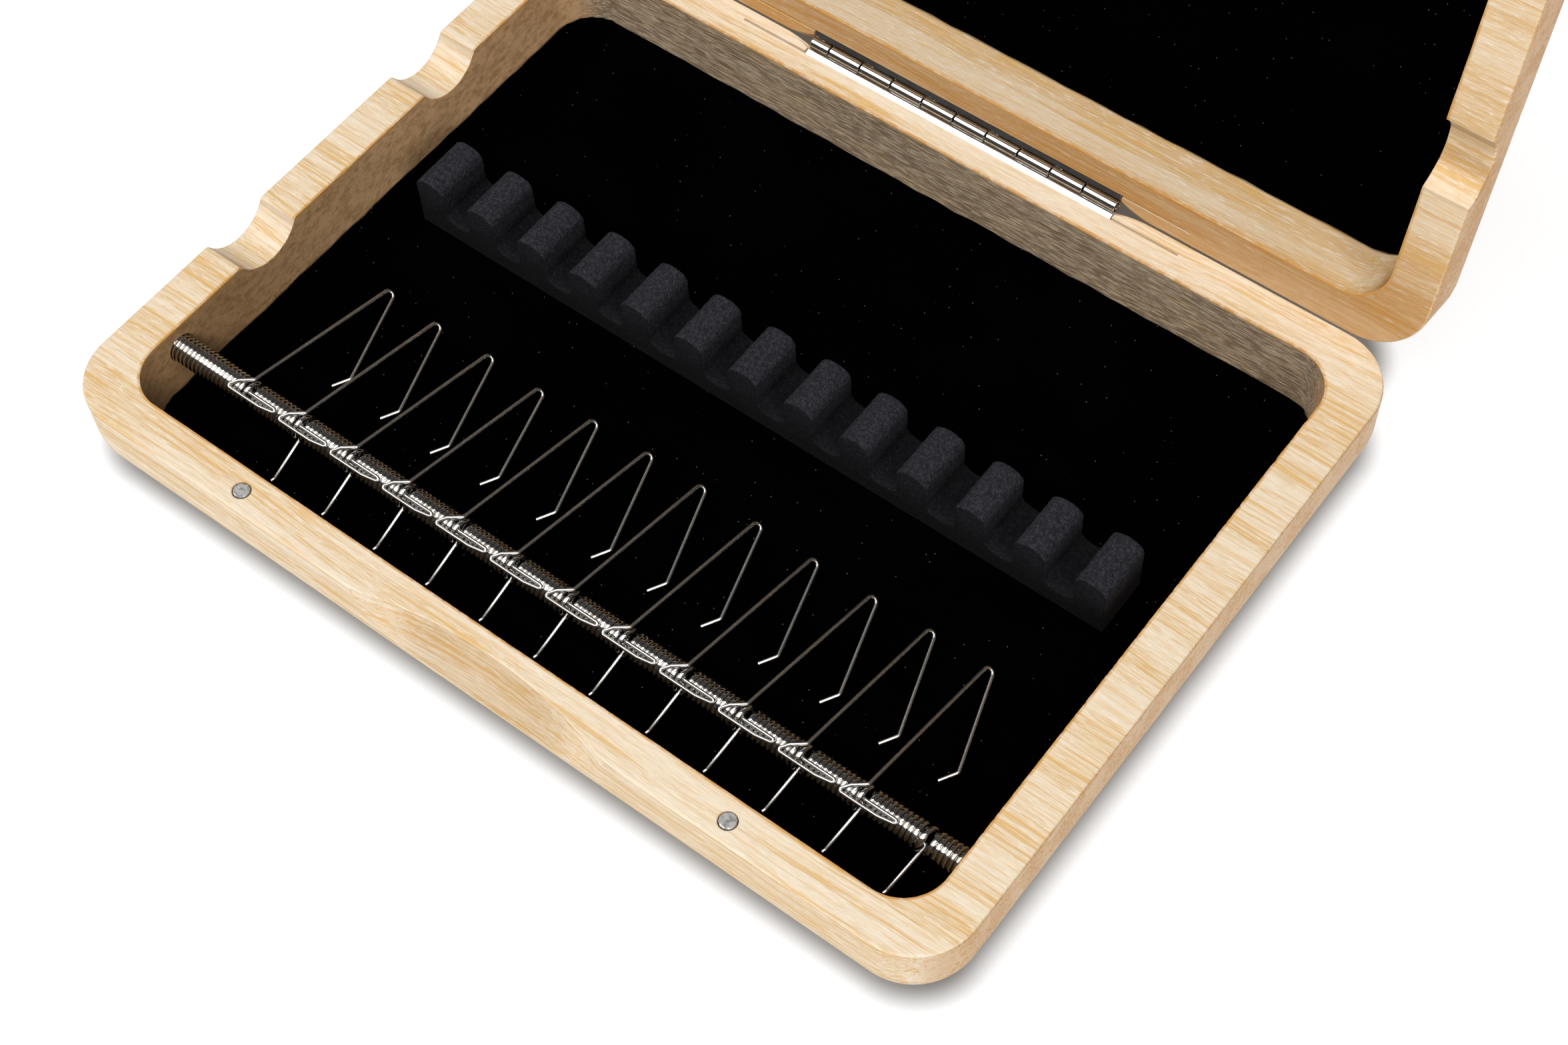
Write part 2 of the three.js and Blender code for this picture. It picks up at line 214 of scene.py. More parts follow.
def joined(parts: Sequence[Skin]) -> Skin:
    """Puts several shapes into one.

    Args:
        parts: The shapes.

    Returns:
        Skin: All their points and faces.
    """
    faces: list[Face] = []
    start = 0
    for some_points, some_faces in parts:
        faces += [tuple(start + index for index in face) for face in some_faces]
        start += len(some_points)
    return np.concatenate([points for points, _ in parts]), faces


def lathe(profile: Sequence[Flat], sides: int) -> Skin:
    """Turns a profile of (radius, height) points round the Z axis.

    Args:
        profile: The profile from one end to the other, off the axis.
        sides: How many sides the round has.

    Returns:
        tuple: The points and the faces, closed at both ends.
    """
    turn = np.linspace(0.0, 2 * math.pi, sides, endpoint=False)
    circle = np.column_stack((np.cos(turn), np.sin(turn)))
    return skin([np.column_stack((radius * circle, np.full(sides, height))) for radius, height in profile])


def tube(path: np.ndarray, radius: float, sides: int, bevel: float = 0.0) -> Skin:
    """Sweeps round wire along a path without twisting it.

    Args:
        path: The wire's centreline.
        radius: The wire's radius.
        sides: How many sides its section has.
        bevel: How much smaller the cut ends are.

    Returns:
        tuple: The points and the faces, closed at both ends.
    """
    ahead = np.diff(path, axis=0)
    ahead /= np.linalg.norm(ahead, axis=1, keepdims=True)
    tangents = np.vstack((ahead[:1], ahead[:-1] + ahead[1:], ahead[-1:]))
    tangents /= np.linalg.norm(tangents, axis=1, keepdims=True)
    radii = np.full(len(path), radius)
    if bevel > 0:
        path = np.vstack((path[:1], path[:1] + ahead[:1] * bevel, path[1:-1],
                          path[-1:] - ahead[-1:] * bevel, path[-1:]))
        tangents = np.vstack((tangents[:1], tangents, tangents[-1:]))
        radii = np.full(len(path), radius)
        radii[[0, -1]] = radius - bevel
    normal = np.cross((0.0, 0.0, 1.0), tangents[0])
    angles = np.linspace(0.0, 2 * math.pi, sides, endpoint=False)
    cosines, sines = np.cos(angles), np.sin(angles)
    rings = []
    for point, tangent, size in zip(path, tangents, radii):
        normal = normal - tangent * normal.dot(tangent)
        normal /= np.linalg.norm(normal)
        across = np.cross(tangent, normal)
        rings.append(point + size * (np.outer(cosines, normal) + np.outer(sines, across)))
    return skin(rings)


def carve(piece: Piece, cutters: Sequence[Piece], sharp_from: float = 32.0) -> None:
    """Cuts other objects out of a piece and drops them.

    Args:
        piece: The piece that is cut.
        cutters: The closed meshes that are taken away from it.
        sharp_from: Edges that turn by more degrees than this stay sharp.
    """
    for cutter in cutters:
        cut = piece.modifiers.new(cutter.name, "BOOLEAN")
        cut.operation = "DIFFERENCE"
        cut.solver = "EXACT"
        cut.object = cutter
    seen = piece.evaluated_get(bpy.context.evaluated_depsgraph_get())
    mesh = bpy.data.meshes.new_from_object(seen)
    mesh.name = piece.data.name
    piece.modifiers.clear()
    piece.data = mesh
    smooth(mesh, sharp_from)
    for cutter in cutters:
        bpy.data.objects.remove(cutter)


def wander(count: int, seed: int, reach: int) -> np.ndarray:
    """A closed run of random values between about -1 and 1.

    Args:
        count: How many values there are.
        seed: The seed of the random numbers.
        reach: Over how many neighbours the values are evened out.

    Returns:
        np.ndarray: The values; the last runs on into the first.
    """
    raw = np.random.default_rng(seed).uniform(-1.0, 1.0, count)
    window = np.hanning(2 * reach + 1)
    ends = np.concatenate((raw[-reach:], raw, raw[:reach]))
    even = np.convolve(ends, window / window.sum(), mode="valid")
    return even / np.abs(even).max()


# Material graphs


class Graph:
    """Adds and joins the nodes of one material or one node group."""

    def __init__(self, tree: Tree) -> None:
        """Works on the given node tree."""
        self.tree = tree

    def feed(self, socket: Socket, source: Source) -> None:
        """Joins an input to another node's output, or sets its value.

        Args:
            socket: The input.
            source: The output that it is joined to, or its value.
        """
        if isinstance(source, Socket):
            self.tree.links.new(source, socket)
        else:
            socket.default_value = source

    def add(self, kind: str, *sources: Source, **settings: object) -> Sockets:
        """Adds a node.

        Args:
            kind: Blender's name of the node type, without its start.
            sources: What feeds the node's first inputs, in their order.
            settings: The node's own settings.

        Returns:
            Sockets: The node's outputs.
        """
        node = self.tree.nodes.new(f"ShaderNode{kind}")
        for name, value in settings.items():
            setattr(node, name, value)
        for socket, source in zip(node.inputs, sources):
            self.feed(socket, source)
        return node.outputs

    def math(self, operation: str, first: Source, second: Source = 0.0) -> Socket:
        """Adds one sum of one number or two."""
        return self.add("Math", first, second, operation=operation)[0]

    def times(self, first: Source, *others: Source) -> Socket:
        """Multiplies numbers."""
        return reduce(partial(self.math, "MULTIPLY"), others, first)

    def plus(self, first: Source, second: Source) -> Socket:
        """Adds two numbers."""
        return self.math("ADD", first, second)

    def minus(self, first: Source, second: Source) -> Socket:
        """Takes the second number from the first."""
        return self.math("SUBTRACT", first, second)

    def most(self, first: Source, second: Source) -> Socket:
        """The greater of two numbers."""
        return self.math("MAXIMUM", first, second)

    def vector(self, operation: str, first: Source, second: Source = (0.0, 0.0, 0.0)) -> Socket:
        """Adds one sum of one vector or two."""
        return self.add("VectorMath", first, second, operation=operation)[0]

    def noise(self, place: Source, scale: Triple, detail: float = 2.0, roughness: float = 0.5) -> Socket:
        """Soft noise, about 0.5 on average, with so many lumps to the millimetre along each axis."""
        at = self.vector("MULTIPLY", place, scale)
        return self.add("TexNoise", at, 0.0, 1.0, detail, roughness)["Fac"]

    def cells(self, place: Source, per_mm: float) -> Sockets:
        """A cell pattern with so many cells to the millimetre."""
        at = self.vector("MULTIPLY", place, (per_mm, per_mm, per_mm))
        return self.add("TexVoronoi", at, 0.0, 1.0)

    def span(self, value: Source, low: float, high: float, start: float = 0.0, end: float = 1.0) -> Socket:
        """Maps low to high softly onto start to end, and keeps what lies outside at those ends."""
        return self.add("MapRange", value, low, high, start, end, interpolation_type="SMOOTHSTEP")[0]

    def mix(self, share: Source, first: Source, second: Source, blend: str = "MIX") -> Socket:
        """Lays a share of the second colour over the first.

        Args:
            share: How much of the second colour shows.
            first: The colour underneath.
            second: The colour on top.
            blend: Blender's name of the way they mix.

        Returns:
            Socket: The mixed colour.
        """
        outputs = self.add("Mix", share, data_type="RGBA", blend_type=blend)
        inputs = outputs[0].node.inputs
        self.feed(inputs[6], first)
        self.feed(inputs[7], second)
        return outputs[2]

    def tint(self, share: Source, colour: Source, tone: Source) -> Socket:
        """Multiplies a share of a colour by a tone."""
        return self.mix(share, colour, self.mix(1.0, colour, tone, "MULTIPLY"))

    def bump(self, height: Source, depth: float) -> Socket:
        """The normal of relief from 0 to 1 that is so many millimetres deep."""
        return self.feed_named(self.add("Bump"), Distance=depth * MM, Height=height)["Normal"]

    def facing(self, axis: str) -> Socket:
        """How squarely the surface faces along an axis, either way, from 0 to 1."""
        return self.math("ABSOLUTE", self.add("SeparateXYZ", self.add("TexCoord")["Normal"])[axis])

    def feed_named(self, outputs: Sockets, **inputs: Source) -> Sockets:
        """Feeds a node's inputs by their names.

        Args:
            outputs: The node's outputs.
            inputs: What feeds its inputs.

        Returns:
            Sockets: The same outputs.
        """
        for name, source in inputs.items():
            self.feed(outputs[0].node.inputs[name], source)
        return outputs


class Effect:
    """A shared effect: one node group of masks and values, built when a material first asks for it."""

    name: str = ""
    inputs: dict[str, str] = {"Place": "Vector"}

    @classmethod
    def group(cls) -> Tree:
        """Builds the node group, or finds the one that was built before.

        Returns:
            Tree: The group.
        """
        found = bpy.data.node_groups.get(cls.name)
        if found is not None:
            return found
        tree = bpy.data.node_groups.new(cls.name, "ShaderNodeTree")
        for name, kind in cls.inputs.items():
            tree.interface.new_socket(name=name, in_out="INPUT", socket_type=f"NodeSocket{kind}")
        graph = Graph(tree)
        outputs = cls.wire(graph, tree.nodes.new("NodeGroupInput").outputs)
        for name in outputs:
            tree.interface.new_socket(name=name, in_out="OUTPUT", socket_type="NodeSocketFloat")
        made = tree.nodes.new("NodeGroupOutput").inputs
        for name, source in outputs.items():
            graph.feed(made[name], source)
        return tree

    @classmethod
    def on(cls, graph: Graph, **inputs: Source) -> Sockets:
        """Places the effect in a graph and gives its outputs."""
        return graph.feed_named(graph.add("Group", node_tree=cls.group()), **inputs)

    @classmethod
    def wire(cls, graph: Graph, given: Sockets) -> dict[str, Socket]:
        """Adds the effect's nodes.

        Args:
            graph: The group's graph.
            given: The group's inputs.

        Returns:
            dict: What feeds each output, by the output's name.
        """
        raise NotImplementedError


class AshFigure(Effect):
    """Figure of ash along X: soft growth bands, thin pore lines, silky fibres and pale flecks."""

    name = "ash figure"
    inputs = {"Place": "Vector", "Seed": "Float"}

    @classmethod
    def wire(cls, graph: Graph, given: Sockets) -> dict[str, Socket]:
        """Stretches several noises along the grain.

        Args:
            graph: The group's graph.
            given: The group's inputs.

        Returns:
            dict: What feeds each output.
        """
        moves = (graph.times(given["Seed"], much) for much in (37.0, 11.0, 5.0))
        place = graph.vector("ADD", given["Place"], graph.add("CombineXYZ", *moves)[0])
        sway = graph.minus(graph.noise(place, (0.014, 0.03, 0.03)), 0.5)
        twist = graph.minus(graph.noise(place, (0.06, 0.16, 0.16), detail=1.0), 0.5)
        push = graph.plus(graph.times(sway, 4.5), graph.times(twist, 0.9))
        bent = graph.vector("ADD", place, graph.add("CombineXYZ", 0.0, push, graph.times(push, 0.7))[0])
        broad = graph.noise(bent, (0.007, 0.2, 0.2))
        narrow = graph.noise(bent, (0.02, 1.1, 1.1), roughness=0.6)
        bands = graph.span(graph.plus(graph.times(broad, 0.6), graph.times(narrow, 0.4)), 0.42, 0.58)
        long_lines = graph.span(graph.noise(bent, (0.06, 1.9, 1.9), detail=3.0, roughness=0.6), 0.52, 0.60)
        short_lines = graph.span(graph.noise(bent, (0.3, 4.2, 4.2)), 0.54, 0.61)
        strokes = graph.most(long_lines, graph.times(short_lines, 0.6))
        lines = graph.times(strokes, graph.span(bands, 0.0, 1.0, 0.45, 1.0))
        silk = graph.noise(bent, (0.6, 9.0, 9.0), roughness=0.6)
        flecks = graph.span(graph.noise(bent, (0.35, 2.2, 2.2), detail=3.0, roughness=0.7), 0.52, 0.66)
        relief = graph.minus(graph.times(silk, 0.5), lines)
        return {"Bands": bands, "Lines": lines, "Silk": silk, "Flecks": flecks, "Relief": relief}


class OutlineReach(Effect):
    """How far a place lies outside a rounded rectangle, seen from above, in millimetres."""

    name = "outline reach"
    inputs = {"Place": "Vector", "Half": "Vector", "Corner": "Float"}

    @classmethod
    def wire(cls, graph: Graph, given: Sockets) -> dict[str, Socket]:
        """Measures from the rectangle, whose half sides are given without its corners.

        Args:
            graph: The group's graph.
            given: The group's inputs.

        Returns:
            dict: What feeds each output.
        """
        away = graph.vector("ABSOLUTE", given["Place"])
        across, along, _ = graph.add("SeparateXYZ", graph.vector("SUBTRACT", away, given["Half"]))
        over_x, over_y = graph.most(across, 0.0), graph.most(along, 0.0)
        squared = graph.plus(graph.times(over_x, over_x), graph.times(over_y, over_y))
        inside = graph.math("MINIMUM", graph.most(across, along), 0.0)
        reach = graph.plus(graph.math("SQRT", squared), inside)
        return {"Reach": graph.minus(reach, given["Corner"])}


class HandlingMarks(Effect):
    """Fine scratches that cross each other, and the soft smears of handling."""

    name = "handling marks"

    @classmethod
    def wire(cls, graph: Graph, given: Sockets) -> dict[str, Socket]:
        """Lays two stretched noises across each other.

        Args:
            graph: The group's graph.
            given: The group's inputs.

        Returns:
            dict: What feeds each output.
        """
        place = given["Place"]
        turned = graph.add("Mapping", place, (0.0, 0.0, 0.0), (0.4, 0.3, 0.9))[0]
        first = graph.noise(turned, (0.4, 9.0, 9.0), detail=1.0)
        second = graph.noise(place, (7.0, 0.5, 7.0), detail=1.0)
        scratches = graph.most(graph.span(first, 0.64, 0.7), graph.span(second, 0.65, 0.71))
        smears = graph.span(graph.noise(place, (0.5, 0.5, 0.5), detail=3.0, roughness=0.6), 0.4, 0.65)
        return {"Scratches": scratches, "Smears": smears}


class DustSpecks(Effect):
    """Single pale specks of dust."""

    name = "dust specks"

    @classmethod
    def wire(cls, graph: Graph, given: Sockets) -> dict[str, Socket]:
        """Keeps the middles of a few cells of a cell pattern.

        Args:
            graph: The group's graph.
            given: The group's inputs.

        Returns:
            dict: What feeds each output.
        """
        cells = graph.cells(given["Place"], 0.85)
        near = graph.span(cells["Distance"], 0.035, 0.065, 1.0, 0.0)
        chosen = graph.span(graph.add("SeparateColor", cells["Color"])["Red"], 0.6, 0.62)
        return {"Specks": graph.times(near, chosen)}


class CutCells(Effect):
    """The open cells of cut foam."""

    name = "cut cells"

    @classmethod
    def wire(cls, graph: Graph, given: Sockets) -> dict[str, Socket]:
        """Puts small cells among fine ones.

        Args:
            graph: The group's graph.
            given: The group's inputs.

        Returns:
            dict: What feeds each output.
        """
        place = given["Place"]
        fine = graph.span(graph.cells(place, 4.5)["Distance"], 0.1, 0.6)
        coarse = graph.times(graph.cells(place, 2.0)["Distance"], 0.6)
        shade = graph.noise(place, (1.6, 1.6, 1.6), detail=5.0, roughness=0.75)
        return {"Pits": graph.plus(fine, coarse), "Shade": shade}


# Finishes


class Finish:
    """A finish that can make its own material."""

    title: str = "finish"

    def material(self, body: Body = Body.BASE) -> bpy.types.Material:
        """Makes the material, or finds the one that was made before.

        Args:
            body: The body that the piece is on, whose grain runs with it.

        Returns:
            bpy.types.Material: The material.
        """
        name = f"{self.title} {body.value}"
        found = bpy.data.materials.get(name)
        if found is not None:
            return found
        made = bpy.data.materials.new(name)
        made.use_nodes = True
        graph = Graph(made.node_tree)
        shader = made.node_tree.nodes["Principled BSDF"]
        back = place_of(body).inverted()
        where = graph.add("Mapping", graph.add("TexCoord")["Object"], back.to_translation(),
                          back.to_euler("XYZ"), (1 / MM, 1 / MM, 1 / MM))
        for name, source in self.wire(graph, where[0]).items():
            graph.feed(shader.inputs[name], source)
        return made

    def wire(self, graph: Graph, place: Socket) -> dict[str, Source]:
        """Adds the finish's nodes.

        Args:
            graph: The material's graph.
            place: The place on the piece, in millimetres of the shell's own frame.

        Returns:
            dict: What feeds the Principled shader, by its inputs' names.
        """
        raise NotImplementedError


@dataclass(frozen=True)
class MilledAsh(Finish):
    """Pale ash: sanded outside, turned brown and torn by the cutter along the pocket, with painted shade on
    the pocket's walls, on half-tipped faces and near the hinge.
    """

    title: str = "milled ash"
    cream: Colour = (0.88, 0.745, 0.565, 1.0)
    honey: Colour = (0.82, 0.63, 0.41, 1.0)
    line: Colour = (0.76, 0.46, 0.15, 1.0)
    fleck: Colour = (0.93, 0.83, 0.69, 1.0)
    scorch: Colour = (0.64, 0.32, 0.08, 1.0)
    # Real burnish from the cutter together with painted shade in the pocket, on the walls that run along X
    burnish_and_shade: Colour = (0.23, 0.155, 0.095, 1.0)
    torn: Colour = (0.74, 0.57, 0.39, 1.0)
    sawn: Colour = (0.80, 0.65, 0.50, 1.0)
    # Painted shade near the hinge: a multiply colour, white (so none) on the base
    hinge_shade: Colour = (1.0, 1.0, 1.0, 1.0)
    # Painted shade on faces tipped part way between upright and flat
    slope_shade: Colour = (0.80, 0.76, 0.71, 1.0)
    end_grain: Colour = (0.98, 0.61, 0.32, 1.0)
    end_pores: Colour = (0.60, 0.34, 0.15, 1.0)
    # Painted shade on the pocket's end walls towards the front
    end_wall_shade: Colour = (0.55, 0.52, 0.45, 1.0)
    # How much of the pocket walls' colour shows: real burnish and painted shade (none on the lid)
    browned_and_shaded: float = 0.9
    seed: float = 1.0
    roughness: float = 0.5
    hinge_shade_from: float = 34.0
    hinge_shade_to: float = 52.0
    end_walls_from: float = 66.0
    end_walls_to: float = 70.2
    shady_from: float = 15.0
    shady_to: float = -42.0
    fleck_share: float = 0.6
    line_share: float = 0.85
    line_dullness: float = 0.15
    smear_gloss: float = 0.06

    def wire(self, graph: Graph, place: Socket) -> dict[str, Source]:
        """Lays bands, lines and flecks over each other, then painted shade, then the pocket walls' colours
        (real burnish and tearing mixed with painted shade) and the cutter's marks.

        Args:
            graph: The material's graph.
            place: The place in the shell's own frame.

        Returns:
            dict: What feeds the shader.
        """
        figure = AshFigure.on(graph, Place=place, Seed=self.seed)
        ground = graph.mix(figure["Bands"], self.cream, self.honey)
        pale = graph.mix(graph.times(figure["Flecks"], self.fleck_share), ground, self.fleck)
        lined = graph.mix(graph.times(figure["Lines"], self.line_share), pale, self.line)
        silk = graph.add("CombineColor", *[graph.span(figure["Silk"], 0.3, 0.7, 0.94, 1.04)] * 3)[0]
        wood = graph.mix(1.0, lined, silk, "MULTIPLY")
        wood = graph.tint(graph.span(graph.facing("X"), 0.5, 0.9), wood, self.sawn)
        x, y, z = graph.add("SeparateXYZ", place)
        # Painted shade: faces that face front or back near the hinge are multiplied by a darker, more orange
        # colour on the lid
        upright = graph.span(graph.facing("Y"), 0.8, 0.95)
        hinge_shade_mask = graph.times(upright, graph.span(y, self.hinge_shade_from, self.hinge_shade_to))
        wood = graph.tint(hinge_shade_mask, wood, self.hinge_shade)
        # Painted shade: faces tipped part way, such as the thumb scoop and the roundovers, are multiplied by
        # a darker colour
        tipped = graph.facing("Z")
        slope_shade_mask = graph.times(graph.span(tipped, 0.2, 0.35), graph.span(tipped, 0.5, 0.7, 1.0, 0.0))
        wood = graph.tint(slope_shade_mask, wood, self.slope_shade)
        left, right, front, back = CASE.pocket
        turn = CASE.pocket_corner
        half = ((right - left) / 2 - turn, (back - front) / 2 - turn, ANY_HEIGHT)
        reach = OutlineReach.on(graph, Place=place, Half=half, Corner=turn)["Reach"]
        below = graph.minus(CASE.height, z)
        wall = graph.times(graph.span(reach, 0.03, 0.12, 1.0, 0.0), graph.span(below, 0.1, 0.45))
        strands = graph.noise(place, (0.35, 3.2, 3.2), detail=4.0, roughness=0.72)
        mottle = graph.noise(place, (0.9, 0.55, 0.9), detail=6.0, roughness=0.72)
        along = graph.mix(graph.span(strands, 0.42, 0.64), self.burnish_and_shade, self.torn)
        across = graph.mix(graph.span(mottle, 0.40, 0.66), self.end_grain, self.end_pores)
        # Painted shade: the pocket's end walls grow darker towards the front
        shaded_end_walls = graph.mix(1.0, across, self.end_wall_shade, "MULTIPLY")
        across = graph.mix(graph.span(y, self.shady_to, self.shady_from), shaded_end_walls, across)
        ends = graph.span(graph.math("ABSOLUTE", x), self.end_walls_from, self.end_walls_to)
        even = graph.span(graph.noise(place, (0.06, 0.06, 0.2)), 0.3, 0.6, 0.8, 1.0)
        # Real burnish and painted shade: the walls' colours replace the wood on the pocket's walls
        milled = graph.times(wall, even, self.browned_and_shaded)
        burnt_and_shaded = graph.mix(milled, wood, graph.mix(ends, along, across))
        edge = graph.times(graph.span(graph.math("ABSOLUTE", reach), 0.2, 0.55, 1.0, 0.0),
                           graph.span(below, 0.1, 0.7, 1.0, 0.0))
        ragged = graph.span(graph.noise(place, (0.7, 0.7, 0.7), detail=3.0), 0.35, 0.6, 0.4, 0.95)
        smears = HandlingMarks.on(graph, Place=place)["Smears"]
        dull = graph.minus(self.roughness, graph.times(smears, self.smear_gloss))
        height = graph.plus(graph.times(figure["Relief"], 0.5), graph.times(wall, strands))
        return {
            "Base Color": graph.mix(graph.times(edge, ragged), burnt_and_shaded, self.scorch),
            "Roughness": graph.plus(dull, graph.times(figure["Lines"], self.line_dullness)),
            "Normal": graph.bump(height, depth=0.06),
            "Specular IOR Level": 0.3,
        }


@dataclass(frozen=True)
class BlackFelt(Finish):
    """Deep black flock with a little dust."""

    title: str = "black felt"
    pile: Colour = (0.0004, 0.0004, 0.0006, 1.0)
    nap: Colour = (0.0018, 0.0018, 0.0024, 1.0)
    dust: Colour = (0.24, 0.25, 0.27, 1.0)

    def wire(self, graph: Graph, place: Socket) -> dict[str, Source]:
        """Mixes the pile's two blacks and drops the dust on them.

        Args:
            graph: The material's graph.
            place: The place in the shell's own frame.

        Returns:
            dict: What feeds the shader.
        """
        pile = graph.noise(place, (6.0, 6.0, 6.0), detail=3.0, roughness=0.7)
        brushed = graph.noise(place, (0.05, 0.08, 0.08))
        lifted = graph.times(graph.span(pile, 0.45, 0.75), graph.span(brushed, 0.35, 0.7))
        specks = DustSpecks.on(graph, Place=place)["Specks"]
        return {
            "Base Color": graph.mix(specks, graph.mix(lifted, self.pile, self.nap), self.dust),
            "Normal": graph.bump(pile, depth=0.12),
            "Roughness": 1.0,
            "Specular IOR Level": 0.0,
        }


@dataclass(frozen=True)
class CharcoalFoam(Finish):
    """Charcoal foam with open cells where it is cut."""

    title: str = "charcoal foam"
    skin: Colour = (0.070, 0.071, 0.088, 1.0)
    pit: Colour = (0.012, 0.012, 0.016, 1.0)
    # cut and groove are painted shade: on the faces that face front and back, and in the grooves
    cut: Colour = (0.45, 0.45, 0.45, 1.0)
    groove: Colour = (0.3, 0.3, 0.3, 1.0)
    dust: Colour = (0.16, 0.16, 0.17, 1.0)
    groove_floor: float = 6.0
    ridge_top: float = 12.0

    def wire(self, graph: Graph, place: Socket) -> dict[str, Source]:
        """Darkens the pits between the cells, and paints shade on the faces that face front and back and in
        the grooves.

        Args:
            graph: The material's graph.
            place: The place in the shell's own frame.

        Returns:
            dict: What feeds the shader.
        """
        cells = CutCells.on(graph, Place=place)
        tone = graph.plus(graph.times(cells["Pits"], 0.4), cells["Shade"])
        ground = graph.mix(graph.span(tone, 0.5, 1.15), self.skin, self.pit)
        # Painted shade on the faces that face front and back
        ground = graph.tint(graph.span(graph.facing("Y"), 0.5, 0.9), ground, self.cut)
        # Painted shade in the grooves, darker towards the bottom
        low = graph.span(graph.add("SeparateXYZ", place)["Z"], self.groove_floor, self.ridge_top, 1.0, 0.0)
        ground = graph.tint(low, ground, self.groove)
        closer = graph.vector("MULTIPLY", place, (1.7, 1.7, 1.7))
        specks = DustSpecks.on(graph, Place=closer)["Specks"]
        return {
            "Base Color": graph.mix(specks, ground, self.dust),
            "Normal": graph.bump(graph.times(cells["Pits"], -1.0), depth=0.16),
            "Roughness": 0.95,
            "Specular IOR Level": 0.2,
        }


@dataclass(frozen=True)
class BrightNickel(Finish):
    """Smooth nickel plate on wire and on the hinge."""

    title: str = "bright nickel"
    plate: Colour = (0.72, 0.705, 0.68, 1.0)
    tarnish: Colour = (0.55, 0.52, 0.48, 1.0)
    gloss: float = 0.07
    worn: float = 0.14

    def wire(self, graph: Graph, place: Socket) -> dict[str, Source]:
        """Tarnishes the plate in soft patches that are a little duller.

        Args:
            graph: The material's graph.
            place: The place in the shell's own frame.

        Returns:
            dict: What feeds the shader.
        """
        smears = HandlingMarks.on(graph, Place=place)["Smears"]
        return {
            "Base Color": graph.mix(smears, self.plate, self.tarnish),
            "Roughness": graph.span(smears, 0.0, 1.0, self.gloss, self.worn),
            "Metallic": 1.0,
        }


@dataclass(frozen=True)
class DullMagnet(Finish):
    """Plated magnet, scuffed by the one that it meets."""

    title: str = "dull magnet"
    plate: Colour = (0.84, 0.83, 0.79, 1.0)
    scuff: Colour = (0.26, 0.25, 0.235, 1.0)
    gloss: float = 0.26
    worn: float = 0.55

    def wire(self, graph: Graph, place: Socket) -> dict[str, Source]:
        """Scratches the plate in two directions and dulls it in blotches.

        Args:
            graph: The material's graph.
            place: The place in the shell's own frame.

        Returns:
            dict: What feeds the shader.
        """
        closer = graph.vector("MULTIPLY", place, (1.3, 1.3, 1.3))
        scratches = HandlingMarks.on(graph, Place=closer)["Scratches"]
        blotch = graph.span(graph.noise(place, (1.4, 1.4, 1.4), detail=4.0, roughness=0.7), 0.38, 0.62)
        worn = graph.most(graph.times(scratches, 0.8), blotch)
        return {
            "Base Color": graph.mix(worn, self.plate, self.scuff),
            "Roughness": graph.span(worn, 0.0, 1.0, self.gloss, self.worn),
            "Normal": graph.bump(scratches, depth=0.006),
            "Metallic": 0.5,
        }


@dataclass(frozen=True)
class StudioPaper(Finish):
    """White paper under the case; it glows, and its glow fades into a painted shadow under the case and its
    lid.
    """

    title: str = "studio paper"
    sheet: Colour = (0.35, 0.35, 0.355, 1.0)
    fleck: Colour = (0.335, 0.335, 0.34, 1.0)
    far_glow: Colour = (0.80, 0.80, 0.80, 1.0)
    near_glow: Colour = (0.04, 0.04, 0.04, 1.0)
    fade_from: float = -2.6
    fade_to: float = 2.8
    lid_inset: float = 6.0

    def wire(self, graph: Graph, place: Socket) -> dict[str, Source]:
        """Gives the paper a faint cloud, and lets its glow fade under the case and its lid, which paints
        their shadow.

        Args:
            graph: The material's graph.
            place: The place in the shell's own frame.

        Returns:
            dict: What feeds the shader.
        """
        cloud = graph.noise(place, (0.01, 0.01, 0.01), detail=3.0)
        half = (CASE.length / 2 - CASE.corner, CASE.width / 2 - CASE.corner, ANY_HEIGHT)
        narrower = (half[0] - self.lid_inset, half[1], half[2])
        behind = graph.vector("SUBTRACT", place, (0.0, CASE.height, 0.0))
        case, lid = (OutlineReach.on(graph, Place=at, Half=size, Corner=CASE.corner)["Reach"]
                     for at, size in ((place, half), (behind, narrower)))
        # Painted shadow: the glow fades near the case's outline and behind the case, under the lid
        away = graph.span(graph.math("MINIMUM", case, lid), self.fade_from, self.fade_to)
        return {
            "Base Color": graph.mix(cloud, self.sheet, self.fleck),
            "Emission Color": graph.mix(away, self.near_glow, self.far_glow),
            "Emission Strength": 1.0,
            "Roughness": 0.9,
            "Specular IOR Level": 0.1,
        }


def dress(piece: Piece, finish: Finish, slot: Slot, rides: str, *nodes: str,
          body: Body = Body.BASE) -> Piece:
    """Finishes a piece and ties it to the frame.

    Args:
        piece: The piece.
        finish: Its finish.
        slot: The record's material slot; not used.
        rides: The body that carries it.
        nodes: The CAD nodes that it stands for.
        body: The shell whose frame the finish follows.

    Returns:
        Piece: The same piece.
    """
    piece.data.materials.clear()
    piece.data.materials.append(finish.material(body))
    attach(piece, rides)
    if nodes:
        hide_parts(*nodes)
    LOG.info("%s: %d faces, rides on %s", piece.name, len(piece.data.polygons), rides)
    return piece


# Wooden shells


@dataclass(frozen=True)
class Station:
    """One section through a shell's wall."""

    side: Side
    along: float
    outer: Flat
    inward: Flat
    inner: Flat
    outward: Flat


